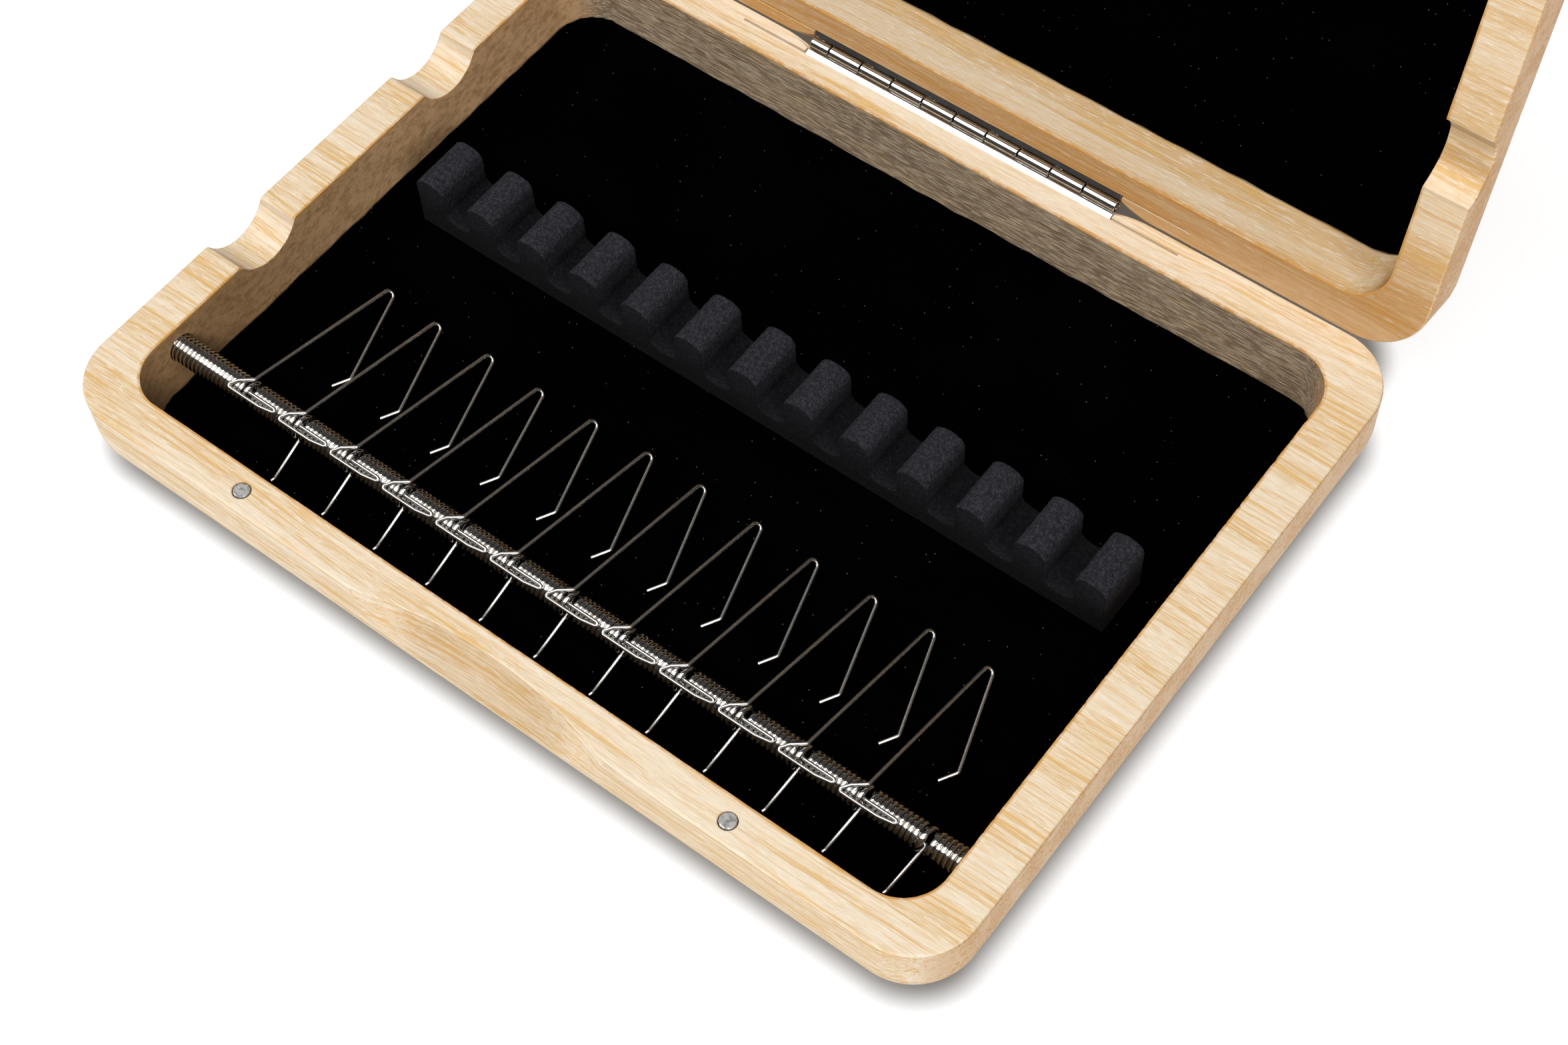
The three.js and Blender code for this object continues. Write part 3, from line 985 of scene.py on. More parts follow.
@dataclass
class MilledShell:
    """One milled half of the case: a swept wall with a pocket, notches, scoop and hinge cuts."""

    body: Body
    floor: float
    vent_from_back: float
    scoop_x: float
    holds_spring: bool
    seed: int
    tear: float = 0.32
    vent_length: float = 11.6
    vent_depth: float = 3.7
    vent_spacing: float = 41.1
    vent_shoulder: float = 0.35
    scoop_half: float = 22.3
    scoop_rim: float = 3.6
    scoop_face: float = 8.1
    cove: float = 1.4
    cove_run_out: float = 6.0
    cove_end: float = 0.2
    flange_drop: float = 0.95
    flange_past: float = 0.12
    kerf_from_back: float = 2.2
    kerf_width: float = 0.44
    kerf_depth: float = 6.8
    kerf_run_out: float = 11.85
    kerf_curve: float = 1.4
    kerf_lean: float = 0.02
    magnet_hole: float = 1.4
    magnet_hole_depth: float = 3.15
    magnet_lip: float = 0.12
    spring_hole: float = 2.34
    spring_hole_depth: float = 2.5
    edge_round: float = 0.3
    back_round: float = 0.1
    inner_round: float = 0.16
    edge_radius: float = 0.22
    wear: float = 0.55
    vent_margin: float = 1.2
    vent_trim: float = 0.012
    back_fade: float = 7.0
    flange_step: float = 0.09
    step: float = 1.5
    fine_step: float = 0.3
    support: float = 0.15
    finish: Finish = MilledAsh()

    def stops(self, low: float, high: float, fine: Sequence[Flat]) -> np.ndarray:
        """Where the sections of a straight side stand.

        Args:
            low: The side's low end.
            high: The side's high end.
            fine: The stretches that need close sections.

        Returns:
            np.ndarray: The stops from low to high.
        """
        runs = [np.linspace(low, high, round((high - low) / self.step) + 1)]
        for start, end in fine:
            runs.append(np.linspace(start, end, max(2, round((end - start) / self.fine_step) + 1)))
        every = np.unique(np.round(np.concatenate(runs), 4))
        every = every[(every >= low) & (every <= high)]
        keep = np.concatenate(([True], np.diff(every) > self.fine_step / 4))
        return every[keep]

    def vents(self) -> tuple[float, float]:
        """The middles of the two vent notches, along Y."""
        first = CASE.width / 2 - self.vent_from_back
        return first, first - self.vent_spacing

    def stations(self) -> list[Station]:
        """Every section, counter-clockwise from above.

        Returns:
            list[Station]: The sections round the whole wall.
        """
        left, right, front, back = CASE.pocket
        half_x, half_y = CASE.length / 2, CASE.width / 2
        turn = CASE.pocket_corner
        crowd = self.scoop_x + self.scoop_half * np.sin(np.linspace(-math.pi / 2, math.pi / 2, 61))
        scoop = list(zip(crowd[:-1].tolist(), crowd[1:].tolist()))
        flange = CASE.hinge_half + self.flange_past
        kerf = CASE.hinge_half + self.kerf_run_out
        cuts = []
        for near, far in ((flange, flange + self.flange_step), (flange, kerf + 0.3), (flange - 0.4, flange)):
            cuts += [(near, far), (-far, -near)]
        margin = self.vent_margin
        half = self.vent_length / 2
        notches = [(y - half - margin, y + half + margin) for y in self.vents()]
        found: list[Station] = []
        for x in self.stops(left + turn, right - turn, scoop):
            found.append(Station(Side.FRONT, x, (x, -half_y), (0.0, 1.0), (x, front), (0.0, -1.0)))
        found += self.corner((half_x, -half_y), (right - turn, front + turn), -90.0)
        for y in self.stops(front + turn, back - turn, ((front + turn, back - turn),)):
            found.append(Station(Side.RIGHT, y, (half_x, y), (-1.0, 0.0), (right, y), (1.0, 0.0)))
        found += self.corner((half_x, half_y), (right - turn, back - turn), 0.0)
        for x in self.stops(left + turn, right - turn, cuts)[::-1]:
            found.append(Station(Side.BACK, x, (x, half_y), (0.0, -1.0), (x, back), (0.0, 1.0)))
        found += self.corner((-half_x, half_y), (left + turn, back - turn), 90.0)
        for y in self.stops(front + turn, back - turn, notches)[::-1]:
            found.append(Station(Side.LEFT, y, (-half_x, y), (1.0, 0.0), (left, y), (-1.0, 0.0)))
        found += self.corner((-half_x, -half_y), (left + turn, front + turn), 180.0)
        return found

    def corner(self, outside: Flat, pocket_centre: Flat, start: float, count: int = 26) -> list[Station]:
        """The sections round one corner, without its two ends.

        Args:
            outside: The corner point of the outside's square.
            pocket_centre: The middle of the pocket's round corner.
            start: The angle at which the corner starts, in degrees.
            count: How many sections it has.

        Returns:
            list[Station]: The sections.
        """
        sign = np.sign(outside)
        centre = np.array(outside) - sign * CASE.corner
        lead = np.abs(centre - np.array(pocket_centre))
        if start in (-90.0, 90.0):
            first, last = lead
        else:
            last, first = lead
        arc = CASE.corner * math.pi / 2
        total = first + arc + last
        found = []
        for share in np.linspace(0.0, 1.0, count + 2)[1:-1]:
            run = share * total
            turned = min(max(run - first, 0.0), arc) / CASE.corner
            angle = math.radians(start) + turned
            way = np.array((math.cos(angle), math.sin(angle)))
            ahead = np.array((-way[1], way[0]))
            slip = min(run - first, 0.0) + max(run - first - arc, 0.0)
            outer = centre + way * CASE.corner + ahead * slip
            inner_angle = math.radians(start + 90.0 * share)
            inner_way = np.array((math.cos(inner_angle), math.sin(inner_angle)))
            inner = np.array(pocket_centre) + inner_way * CASE.pocket_corner
            found.append(Station(Side.CORNER, 0.0, tuple(outer), tuple(-way), tuple(inner), tuple(inner_way)))
        return found

    def vent_drop(self, station: Station) -> float:
        """How far the rim is lowered by a vent notch.

        Args:
            station: Where the section stands.

        Returns:
            float: The drop, with soft shoulders at the notch's ends.
        """
        if station.side is not Side.LEFT:
            return 0.0
        half, depth = self.vent_length / 2, self.vent_depth
        radius = (half ** 2 + depth ** 2) / (2 * depth)
        drop = 0.0
        for middle in self.vents():
            off = min(abs(station.along - middle), radius)
            cut = math.sqrt(radius ** 2 - off ** 2) - (radius - depth)
            drop = max(drop, (cut + math.hypot(cut, self.vent_shoulder)) / 2 - self.vent_trim)
        return max(drop, 0.0)

    def scoop_cut(self, station: Station) -> Flat:
        """How far the thumb scoop cuts in.

        Args:
            station: Where the section stands.

        Returns:
            Flat: How far it goes down the front face, and how far back into the rim.
        """
        share = (station.along - self.scoop_x) / self.scoop_half
        if station.side is not Side.FRONT or abs(share) >= 1:
            return 0.0, 0.0
        return self.scoop_face * math.sqrt(1 - share ** 4), self.scoop_rim * (1 - share ** 2)

    def hinge_cuts(self, station: Station) -> Triple:
        """The barrels' cove, the flange's recess and the saw kerf at a section.

        Args:
            station: Where the section stands.

        Returns:
            tuple: The cove's radius, the recess's depth and the kerf's depth.
        """
        if station.side is not Side.BACK:
            return 0.0, 0.0, 0.0
        past = max(abs(station.along) - CASE.hinge_half, 0.0)
        left = max(1 - past / self.cove_run_out, 0.0)
        cove = self.cove_end + (self.cove - self.cove_end) * left ** 2 if left > 0 else 0.0
        recess = self.flange_drop if past <= self.flange_past + 0.01 else 0.0
        kerf = self.kerf_depth * math.sqrt(max(1 - (past / self.kerf_run_out) ** self.kerf_curve, 0.0))
        return cove, recess, kerf

    def edge_size(self, station: Station) -> float:
        """How much the outer edge is broken at a section: hardly at all along the hinge."""
        away = min(max((CASE.width / 2 - station.outer[1]) / self.back_fade, 0.0), 1.0)
        return self.back_round + (self.edge_round - self.back_round) * away

    def outside(self, end: float, count: int = 15) -> list[Flat]:
        """The outer surface from the underside up, as insets and heights.

        Args:
            end: The height at which it ends.
            count: How many points it has before the last two.

        Returns:
            list[Flat]: The points.
        """
        radius = CASE.under
        if end < radius:
            whole = radius * math.acos(1 - end / radius)
        else:
            whole = radius * math.pi / 2 + end - radius
        runs = list(np.linspace(0.0, whole - 2 * self.support, count)) + [whole - self.support, whole]
        points = []
        for run in runs:
            angle = min(run / radius, math.pi / 2)
            rise = max(run - radius * math.pi / 2, 0.0)
            points.append((radius * (1 - math.sin(angle)), radius * (1 - math.cos(angle)) + rise))
        return points

    @staticmethod
    def rounding(before: Flat, corner: Flat, after: Flat, size: float) -> list[Flat]:
        """Five points round a corner.

        Args:
            before: A point before the corner.
            corner: The corner.
            after: A point after the corner.
            size: How far from the corner the round starts.

        Returns:
            list[Flat]: The points from the first edge to the second.
        """
        middle = np.array(corner)
        start = np.array(before) - middle
        end = np.array(after) - middle
        start = middle + start / np.linalg.norm(start) * size
        end = middle + end / np.linalg.norm(end) * size
        return [tuple((1 - t) ** 2 * start + 2 * t * (1 - t) * middle + t * t * end)
                for t in (0.0, 0.25, 0.5, 0.75, 1.0)]

    def section(self, station: Station, ragged: float) -> np.ndarray:
        """One section's points, from the underside over the rim to the pocket's floor.

        Args:
            station: Where the section stands.
            ragged: How worn the pocket's edge is there, from -1 to 1.

        Returns:
            np.ndarray: The points in the base's frame.
        """
        cove, recess, kerf = self.hinge_cuts(station)
        top = CASE.height - self.vent_drop(station)
        ledge = top - recess
        least = self.edge_size(station)
        face_drop, rim_set = self.scoop_cut(station)
        face_drop, rim_set = max(face_drop, least), max(rim_set, least)
        low = top - face_drop
        over = CASE.hinge_z - ledge
        if cove > math.hypot(over, least):
            low = min(low, CASE.hinge_z - cove)
            rim_set = math.sqrt(cove ** 2 - over ** 2)
        inset = CASE.under - math.sqrt(CASE.under ** 2 - max(CASE.under - low, 0.0) ** 2)
        edge_low, edge_high = (inset, low), (rim_set, ledge)
        slope = math.dist(edge_low, edge_high)
        size = min(self.edge_radius, 0.4 * slope, 0.7 * least)
        face = self.outside(low - size)
        lower = self.rounding(face[-1], edge_low, edge_high, size)[1:]
        upper = self.rounding(edge_low, edge_high, (rim_set + 5.0, ledge), size)
        hold = min(self.support, 0.25 * (slope - 2 * size)) / slope + size / slope
        between = []
        for share in np.linspace(hold, 1 - hold, 5):
            at = (1 - share) * np.array(edge_low) + share * np.array(edge_high)
            if cove > 0:
                spoke = at - (0.0, CASE.hinge_z)
                at = (0.0, CASE.hinge_z) + spoke / np.linalg.norm(spoke) * cove
            between.append(tuple(at))
        start = rim_set + size + min(self.support, 0.06)
        near, far = start + 0.4, start + 0.8
        if station.side is Side.BACK:
            near = self.kerf_from_back - self.kerf_width / 2
            far = self.kerf_from_back + self.kerf_width / 2
        deep, lean = top - kerf, self.kerf_lean
        rim = [(start, ledge), (near, ledge), (near + lean, deep), (far - lean, deep), (far, top)]
        outer, inward = np.array(station.outer), np.array(station.inward)
        points = [(*(outer + inward * off), height) for off, height in face + lower + between + upper + rim]
        inner, outward = np.array(station.inner), np.array(station.outward)
        radius = self.inner_round * (1 + self.wear * ragged)
        if station.side in (Side.LEFT, Side.RIGHT):
            radius += self.tear * max(ragged, 0.0) ** 2
        bend = self.rounding((1.0, top), (0.0, top), (0.0, top - 1.0), radius)
        wall = np.linspace(top - radius - self.support, self.floor, 7)
        inside = [(radius + self.support, top), *bend, *((0.0, float(height)) for height in wall)]
        points += [(*(inner + outward * off), height) for off, height in inside]
        return np.array(points)

    def cutters(self) -> list[Piece]:
        """The magnet holes and the spring's holes.

        Returns:
            list[Piece]: The closed meshes that are cut out of the shell.
        """
        hole, top, lip = self.magnet_hole, CASE.height, self.magnet_lip
        drilled = lathe(((hole, top - self.magnet_hole_depth), (hole, top - lip),
                         (hole + lip + 0.05, top + 0.05), (hole + 2 * lip, top + 1.0)), 40)
        front = CASE.magnet_from_front - CASE.width / 2
        shapes = [moved(drilled, (x, front, 0.0)) for x in (-CASE.magnet_x, CASE.magnet_x)]
        if self.holds_spring:
            wall = CASE.length / 2 - CASE.side_wall
            points, faces = lathe(((self.spring_hole, -self.spring_hole_depth), (self.spring_hole, 1.0)), 40)
            for sign in (-1.0, 1.0):
                turned = points[:, [2, 1, 0]] * (-sign, -1.0, 1.0)
                shapes.append((turned + (sign * wall, CASE.spring_y, CASE.spring_z), faces))
        return [new_piece(f"hole_{index}", shape) for index, shape in enumerate(shapes)]

    def build(self) -> Piece:
        """Sweeps the wall, closes floor and underside, and drills the holes.

        Returns:
            Piece: The bare shell, at its place.
        """
        stations = self.stations()
        ragged = wander(len(stations), self.seed, 2)
        sections = np.array([self.section(station, float(worn)) for station, worn in zip(stations, ragged)])
        shell = new_piece(f"{self.body.value}_shell", skin(sections.transpose(1, 0, 2)))
        carve(shell, self.cutters())
        metres = place_of(self.body)
        metres.translation = metres.translation * MM
        shell.data.transform(metres)
        return shell

    def dress(self) -> Piece:
        """Builds the shell, finishes it and ties it to its body."""
        name = self.body.value
        return dress(self.build(), self.finish, Slot.WOOD, name, f"{name}_frame", body=self.body)


# Felt


@dataclass
class FeltSheet:
    """The flocked sheet on a pocket's floor, with a slightly frayed cut edge."""

    body: Body
    floor: float
    held: str
    seed: int
    thickness: float = 1.15
    gap: float = 0.3
    fray: float = 0.16
    flat: Flat = (140.2, 103.0)
    insets: tuple[float, ...] = (0.2, 1.0, 3.0, 8.0, 16.0, 28.0, 42.0)
    cut_edge: float = 0.25
    ripple: float = 0.02
    finish: Finish = BlackFelt()

    def outline(self, inset: float, count: int = 36, turn_count: int = 13) -> np.ndarray:
        """The pocket's outline moved in.

        Args:
            inset: How far it is moved in.
            count: How many steps each side has.
            turn_count: How many points each corner has.

        Returns:
            np.ndarray: Points in the plane, counter-clockwise.
        """
        left, right, front, back = CASE.pocket
        turn = CASE.pocket_corner
        centres = ((right - turn, back - turn), (left + turn, back - turn),
                   (left + turn, front + turn), (right - turn, front + turn))
        radius = max(turn - inset, 0.5)
        pull = inset - (turn - radius)
        arcs = []
        for quarter, (x, y) in enumerate(centres):
            turned = np.radians(np.linspace(quarter * 90.0, quarter * 90.0 + 90.0, turn_count))
            arcs.append(np.column_stack((x - math.copysign(pull, x) + radius * np.cos(turned),
                                         y - math.copysign(pull, y) + radius * np.sin(turned))))
        found = []
        for arc, following in zip(arcs, arcs[1:] + arcs[:1]):
            steps = np.linspace(0.0, 1.0, count + 1)[1:-1, None]
            found += [arc, arc[-1] + (following[0] - arc[-1]) * steps]
        return np.concatenate(found)

    def build(self) -> Piece:
        """Makes the closed sheet with its frayed edge.

        Returns:
            Piece: The bare sheet, at its place.
        """
        top = self.floor + self.thickness
        levels = [(0.0, self.floor), (0.0, top - self.cut_edge)] + [(inset, top) for inset in self.insets]
        fray = wander(len(self.outline(0.0)), self.seed, 1) * self.fray
        wave = np.random.default_rng(self.seed).uniform(-self.ripple, self.ripple, (len(levels), len(fray)))
        rings = []
        for (inset, height), ripple in zip(levels, wave):
            ring = self.outline(self.gap + inset)
            away = ring - ring.mean(axis=0)
            away /= np.linalg.norm(away, axis=1, keepdims=True)
            if inset <= self.insets[0]:
                ring = ring + away * fray[:, None]
            lift = ripple if height == top else 0.0
            rings.append(np.column_stack((ring, np.full(len(ring), height) + lift)))
        return new_piece(f"{self.body.value}_felt_sheet", skin(rings), 60.0, place_of(self.body))

    def dress(self, shell: Piece) -> Piece:
        """Args:
            shell: The shell that it lies in; not used.

        Returns:
            Piece: The sheet.
        """
        name = self.body.value
        piece = dress(self.build(), self.finish, Slot.FELT, name, f"{name}_felt", body=self.body)
        return piece


# Foam rack


@dataclass
class FoamRack:
    """The foam block whose grooves hold the reeds."""

    ridge_width: float = 5.2
    ridge_before_clip: float = 2.6
    front: float = 2.4
    depth: float = 9.6
    floor: float = 3.65
    groove: float = 7.2
    shoulder: float = 12.0
    crown: float = 1.7
    sag: float = 0.5
    edge: float = 0.22
    crown_start: float = 0.4
    dip_start: float = 0.9
    dip_depth: float = 0.6
    dip_shape: float = 0.6
    end_slices: Triple = (0.0, 0.07, 0.22)
    slice_step: float = 0.4
    uneven: float = 0.025
    seed: int = 31
    finish: Finish = CharcoalFoam()

    def profile(self) -> np.ndarray:
        """The rack's outline in X and Z, left foot to right foot over the ridges.

        Returns:
            np.ndarray: The outline's points.
        """
        first = CASE.first_clip - self.ridge_before_clip
        half = self.ridge_width / 2
        gap = CASE.clip_pitch - self.ridge_width
        top, low = self.shoulder - self.crown_start, self.groove + self.dip_start
        foot = np.linspace(self.floor, top, 18)
        points: list[Flat] = [(first - half, z) for z in foot]
        for ridge in range(CASE.clip_count + 1):
            middle = first + ridge * CASE.clip_pitch
            right = middle + half
            for angle in np.linspace(math.pi, 0.0, 19):
                points.append((middle + half * math.cos(angle), self.shoulder + self.crown * math.sin(angle)))
            if ridge == CASE.clip_count:
                break
            points += [(right, z) for z in np.linspace(top, low, 10)]
            for share in np.linspace(0.0, 1.0, 13):
                dip = (self.dip_depth + self.sag) * math.sin(share * math.pi) ** self.dip_shape
                points.append((right + gap * share, self.groove + self.dip_depth - dip))
            points += [(right + gap, z) for z in np.linspace(low, top, 10)]
        points += [(right, z) for z in np.linspace(top, self.floor, 18)]
        return np.array(points)

    def build(self) -> Piece:
        """Cuts the block with slightly soft edges and an uneven surface.

        Returns:
            Piece: The bare block.
        """
        outline = self.profile()
        ahead = np.gradient(outline, axis=0)
        normal = np.column_stack((-ahead[:, 1], ahead[:, 0]))
        normal /= np.maximum(np.linalg.norm(normal, axis=1, keepdims=True), 1e-9)
        normal[(outline[:, 1] <= self.floor + 0.01)] = 0.0
        rough = np.random.default_rng(self.seed)
        ends = np.array(self.end_slices)
        between = np.arange(0.6, self.depth - 0.3, self.slice_step)
        slices = np.concatenate((ends, between, self.depth - ends[::-1]))
        rings = []
        for slice_y in slices:
            near = min(slice_y, self.depth - slice_y)
            pull = self.edge * (1 - math.sqrt(max(0.0, 1 - (1 - min(near / self.edge, 1.0)) ** 2)))
            jitter = rough.normal(0.0, self.uneven, len(outline))[:, None]
            flat = outline - normal * pull + normal * np.clip(jitter, -0.06, 0.04)
            rings.append(np.column_stack((flat[:, 0], np.full(len(flat), self.front + slice_y), flat[:, 1])))
        return new_piece("foam_rack_block", skin([ring[::-1] for ring in rings]), 50.0)

    def dress(self) -> Piece:
        """Returns:
            Piece: The block.
        """
        piece = dress(self.build(), self.finish, Slot.FOAM, Body.BASE.value, "foam_rack")
        return piece


# Spring and clips


def round_spring(x: float, radius: float, degrees: float) -> np.ndarray:
    """A point at an angle round the spring's axis, from +Y towards +Z."""
    angle = math.radians(degrees)
    return np.array((x, radius * math.cos(angle), radius * math.sin(angle)))


@dataclass
class ReedSpring:
    """The close-coiled spring from wall to wall, a little open where each clip goes through."""

    outer_radius: float = 2.215
    wire: float = 0.8
    close_pitch: float = 0.803
    open_from: float = 0.044
    open_to: float = 2.293
    half_length: float = 72.6
    steps: int = 26
    sides: int = 10
    finish: Finish = BrightNickel()

    def turns(self, x: np.ndarray) -> np.ndarray:
        """How many curls lie between the first clip's gap and a place along the spring.

        Args:
            x: The places.

        Returns:
            np.ndarray: The curls, less than 0 before the first gap.
        """
        fine = np.linspace(-self.half_length - 1, self.half_length + 1, 60001)
        shift = np.mod(fine - CASE.first_clip, CASE.clip_pitch)
        gap = np.floor((fine - CASE.first_clip) / CASE.clip_pitch)
        held = (gap >= 0) & (gap <= CASE.clip_count)
        wide = held & (shift > self.open_from) & (shift < self.open_to)
        rate = np.where(wide, 1 / CASE.gap_pitch, 1 / self.close_pitch)
        total = np.concatenate(([0.0], np.cumsum((rate[1:] + rate[:-1]) / 2 * np.diff(fine))))
        start = np.interp(CASE.first_clip + CASE.gap_shift, fine, total)
        return np.interp(x, fine, total) - start

    def build(self) -> Piece:
        """Winds the spring.

        Returns:
            Piece: The bare spring.
        """
        reach = self.half_length - self.wire / 2
        fine = np.linspace(-reach, reach, 60001)
        curls = self.turns(fine)
        count = round((curls[-1] - curls[0]) * self.steps)
        wanted = np.linspace(curls[0], curls[-1], count)
        along = np.interp(wanted, curls, fine)
        radius = self.outer_radius - self.wire / 2
        path = np.array([round_spring(x, radius, CASE.gap_angle + 180 - 360 * curl)
                         for x, curl in zip(along, wanted)])
        path += (0.0, CASE.spring_y, CASE.spring_z)
        return new_piece("reed_spring_coil", tube(path, self.wire / 2, self.sides), 60.0)

    def dress(self) -> Piece:
        """Winds the spring, finishes it and ties it to the base."""
        return dress(self.build(), self.finish, Slot.NICKEL, Body.BASE.value, "reed_spring")


@dataclass
class ReedClip:
    """One bent wire: hook, arm, hairpin round the spring, and tail."""

    index: int
    wire: float = 0.54
    seat_radius: float = 2.585
    inner_radius: float = 0.85
    sharp: float = 0.32
    tight: float = 0.27
    soft: float = 0.6
    apex_bend: float = 0.79
    front_leg: float = 135.0
    leg_start: float = -2.4
    leg_bend: float = 4.1
    leg_end: float = 6.7
    close_leg: float = 126.0
    tail_gap: float = 223.0
    tail_inner: float = 238.6
    tail_reach: float = 8.6
    tail_angle: float = 212.2
    turn_step: float = 9.0
    sides: int = 14
    hook_end: Triple = (5.45, 9.75, -4.98)
    hook_bend: Triple = (7.1, 12.2, -4.58)
    apex: Triple = (1.95, 30.0, -3.58)
    toe: Triple = (-0.2, -0.55, -0.12)
    hook_spread: Triple = (0.5, 0.3, 0.1)
    apex_spread: Triple = (0.35, 0.35, 0.15)
    over_front: Flat = (0.7, 66.0)
    over_back: Flat = (-0.9, 98.0)
    cut_bevel: float = 0.06
    tail_lean: float = -0.09
    tail_shift: float = -0.4
    finish: Finish = BrightNickel("drawn nickel", gloss=0.27, worn=0.33)

    def corners(self) -> list[tuple[np.ndarray, float]]:
        """The wire's corners from the hook to the tail, each with its bend.

        Returns:
            list: The corners round the spring's axis, and the bends' radii.
        """
        over = self.seat_radius / math.cos(math.radians(self.front_leg - CASE.gap_angle) / 2)
        tail_x = CASE.gap_shift + CASE.clip_pitch - CASE.gap_pitch * (self.tail_gap - CASE.gap_angle) / 360
        tail_end = round_spring(tail_x, self.tail_reach, self.tail_angle)
        tail_end = tail_end + (self.tail_shift + self.tail_lean * (self.index - 1), 0.0, 0.0)
        bends = np.random.default_rng(40 + self.index).uniform(-1.0, 1.0, (2, 3))
        hook_off = bends[0] * self.hook_spread
        return [
            (np.array(self.hook_end) + hook_off, 0.0),
            (np.array(self.hook_bend) + hook_off, self.soft),
            (np.array(self.apex) + bends[1] * self.apex_spread, self.apex_bend),
            (round_spring(self.over_front[0], over, self.over_front[1]), self.soft),
            (round_spring(self.over_back[0], over, self.over_back[1]), self.soft),
            (round_spring(self.leg_start, over, self.front_leg), self.sharp),
            (round_spring(self.leg_bend, over, self.front_leg), self.soft),
            (round_spring(self.leg_end, self.seat_radius, self.close_leg), self.tight),
            (round_spring(self.leg_end, self.seat_radius, CASE.gap_angle), self.tight),
            (round_spring(CASE.gap_shift, self.seat_radius, CASE.gap_angle), self.sharp),
            (round_spring(CASE.gap_shift, self.inner_radius, CASE.gap_angle), self.sharp),
            (round_spring(tail_x, self.inner_radius, self.tail_inner), self.sharp),
            (tail_end, self.sharp),
            (tail_end + np.array(self.toe), 0.0),
        ]

    def path(self) -> np.ndarray:
        """The wire's centreline, with an arc at each corner.

        Returns:
            np.ndarray: The points round the spring's axis.
        """
        corners = self.corners()
        found = [corners[0][0]]
        for before, (at, bend), after in zip(corners, corners[1:], corners[2:]):
            back = (before[0] - at) / np.linalg.norm(before[0] - at)
            ahead = (after[0] - at) / np.linalg.norm(after[0] - at)
            turn = math.pi - math.acos(float(np.clip(back.dot(ahead), -1.0, 1.0)))
            axis = np.cross(back, ahead)
            axis /= np.linalg.norm(axis)
            middle = (back + ahead) / np.linalg.norm(back + ahead)
            centre = at + middle * bend / math.cos(turn / 2)
            spoke = Vector(at + back * bend * math.tan(turn / 2) - centre)
            steps = max(2, math.ceil(math.degrees(turn) / self.turn_step))
            for step in range(steps + 1):
                swing = Matrix.Rotation(-turn * step / steps, 3, Vector(axis))
                found.append(centre + np.array(swing @ spoke))
        found.append(corners[-1][0])
        return np.array(found)

    def dress(self) -> Piece:
        """Bends the wire, finishes it and lets it ride on its own body.

        Returns:
            Piece: The clip.
        """
        root = (CASE.first_clip + (self.index - 1) * CASE.clip_pitch, CASE.spring_y, CASE.spring_z)
        shape = tube(self.path() + root, self.wire / 2, self.sides, self.cut_bevel)
        number = f"{self.index:02d}"
        piece = new_piece(f"reed_clip_wire_{number}", shape, 40.0)
        return dress(piece, self.finish, Slot.NICKEL, f"clip_{number}", f"reed_clip_{number}")


# Hinge


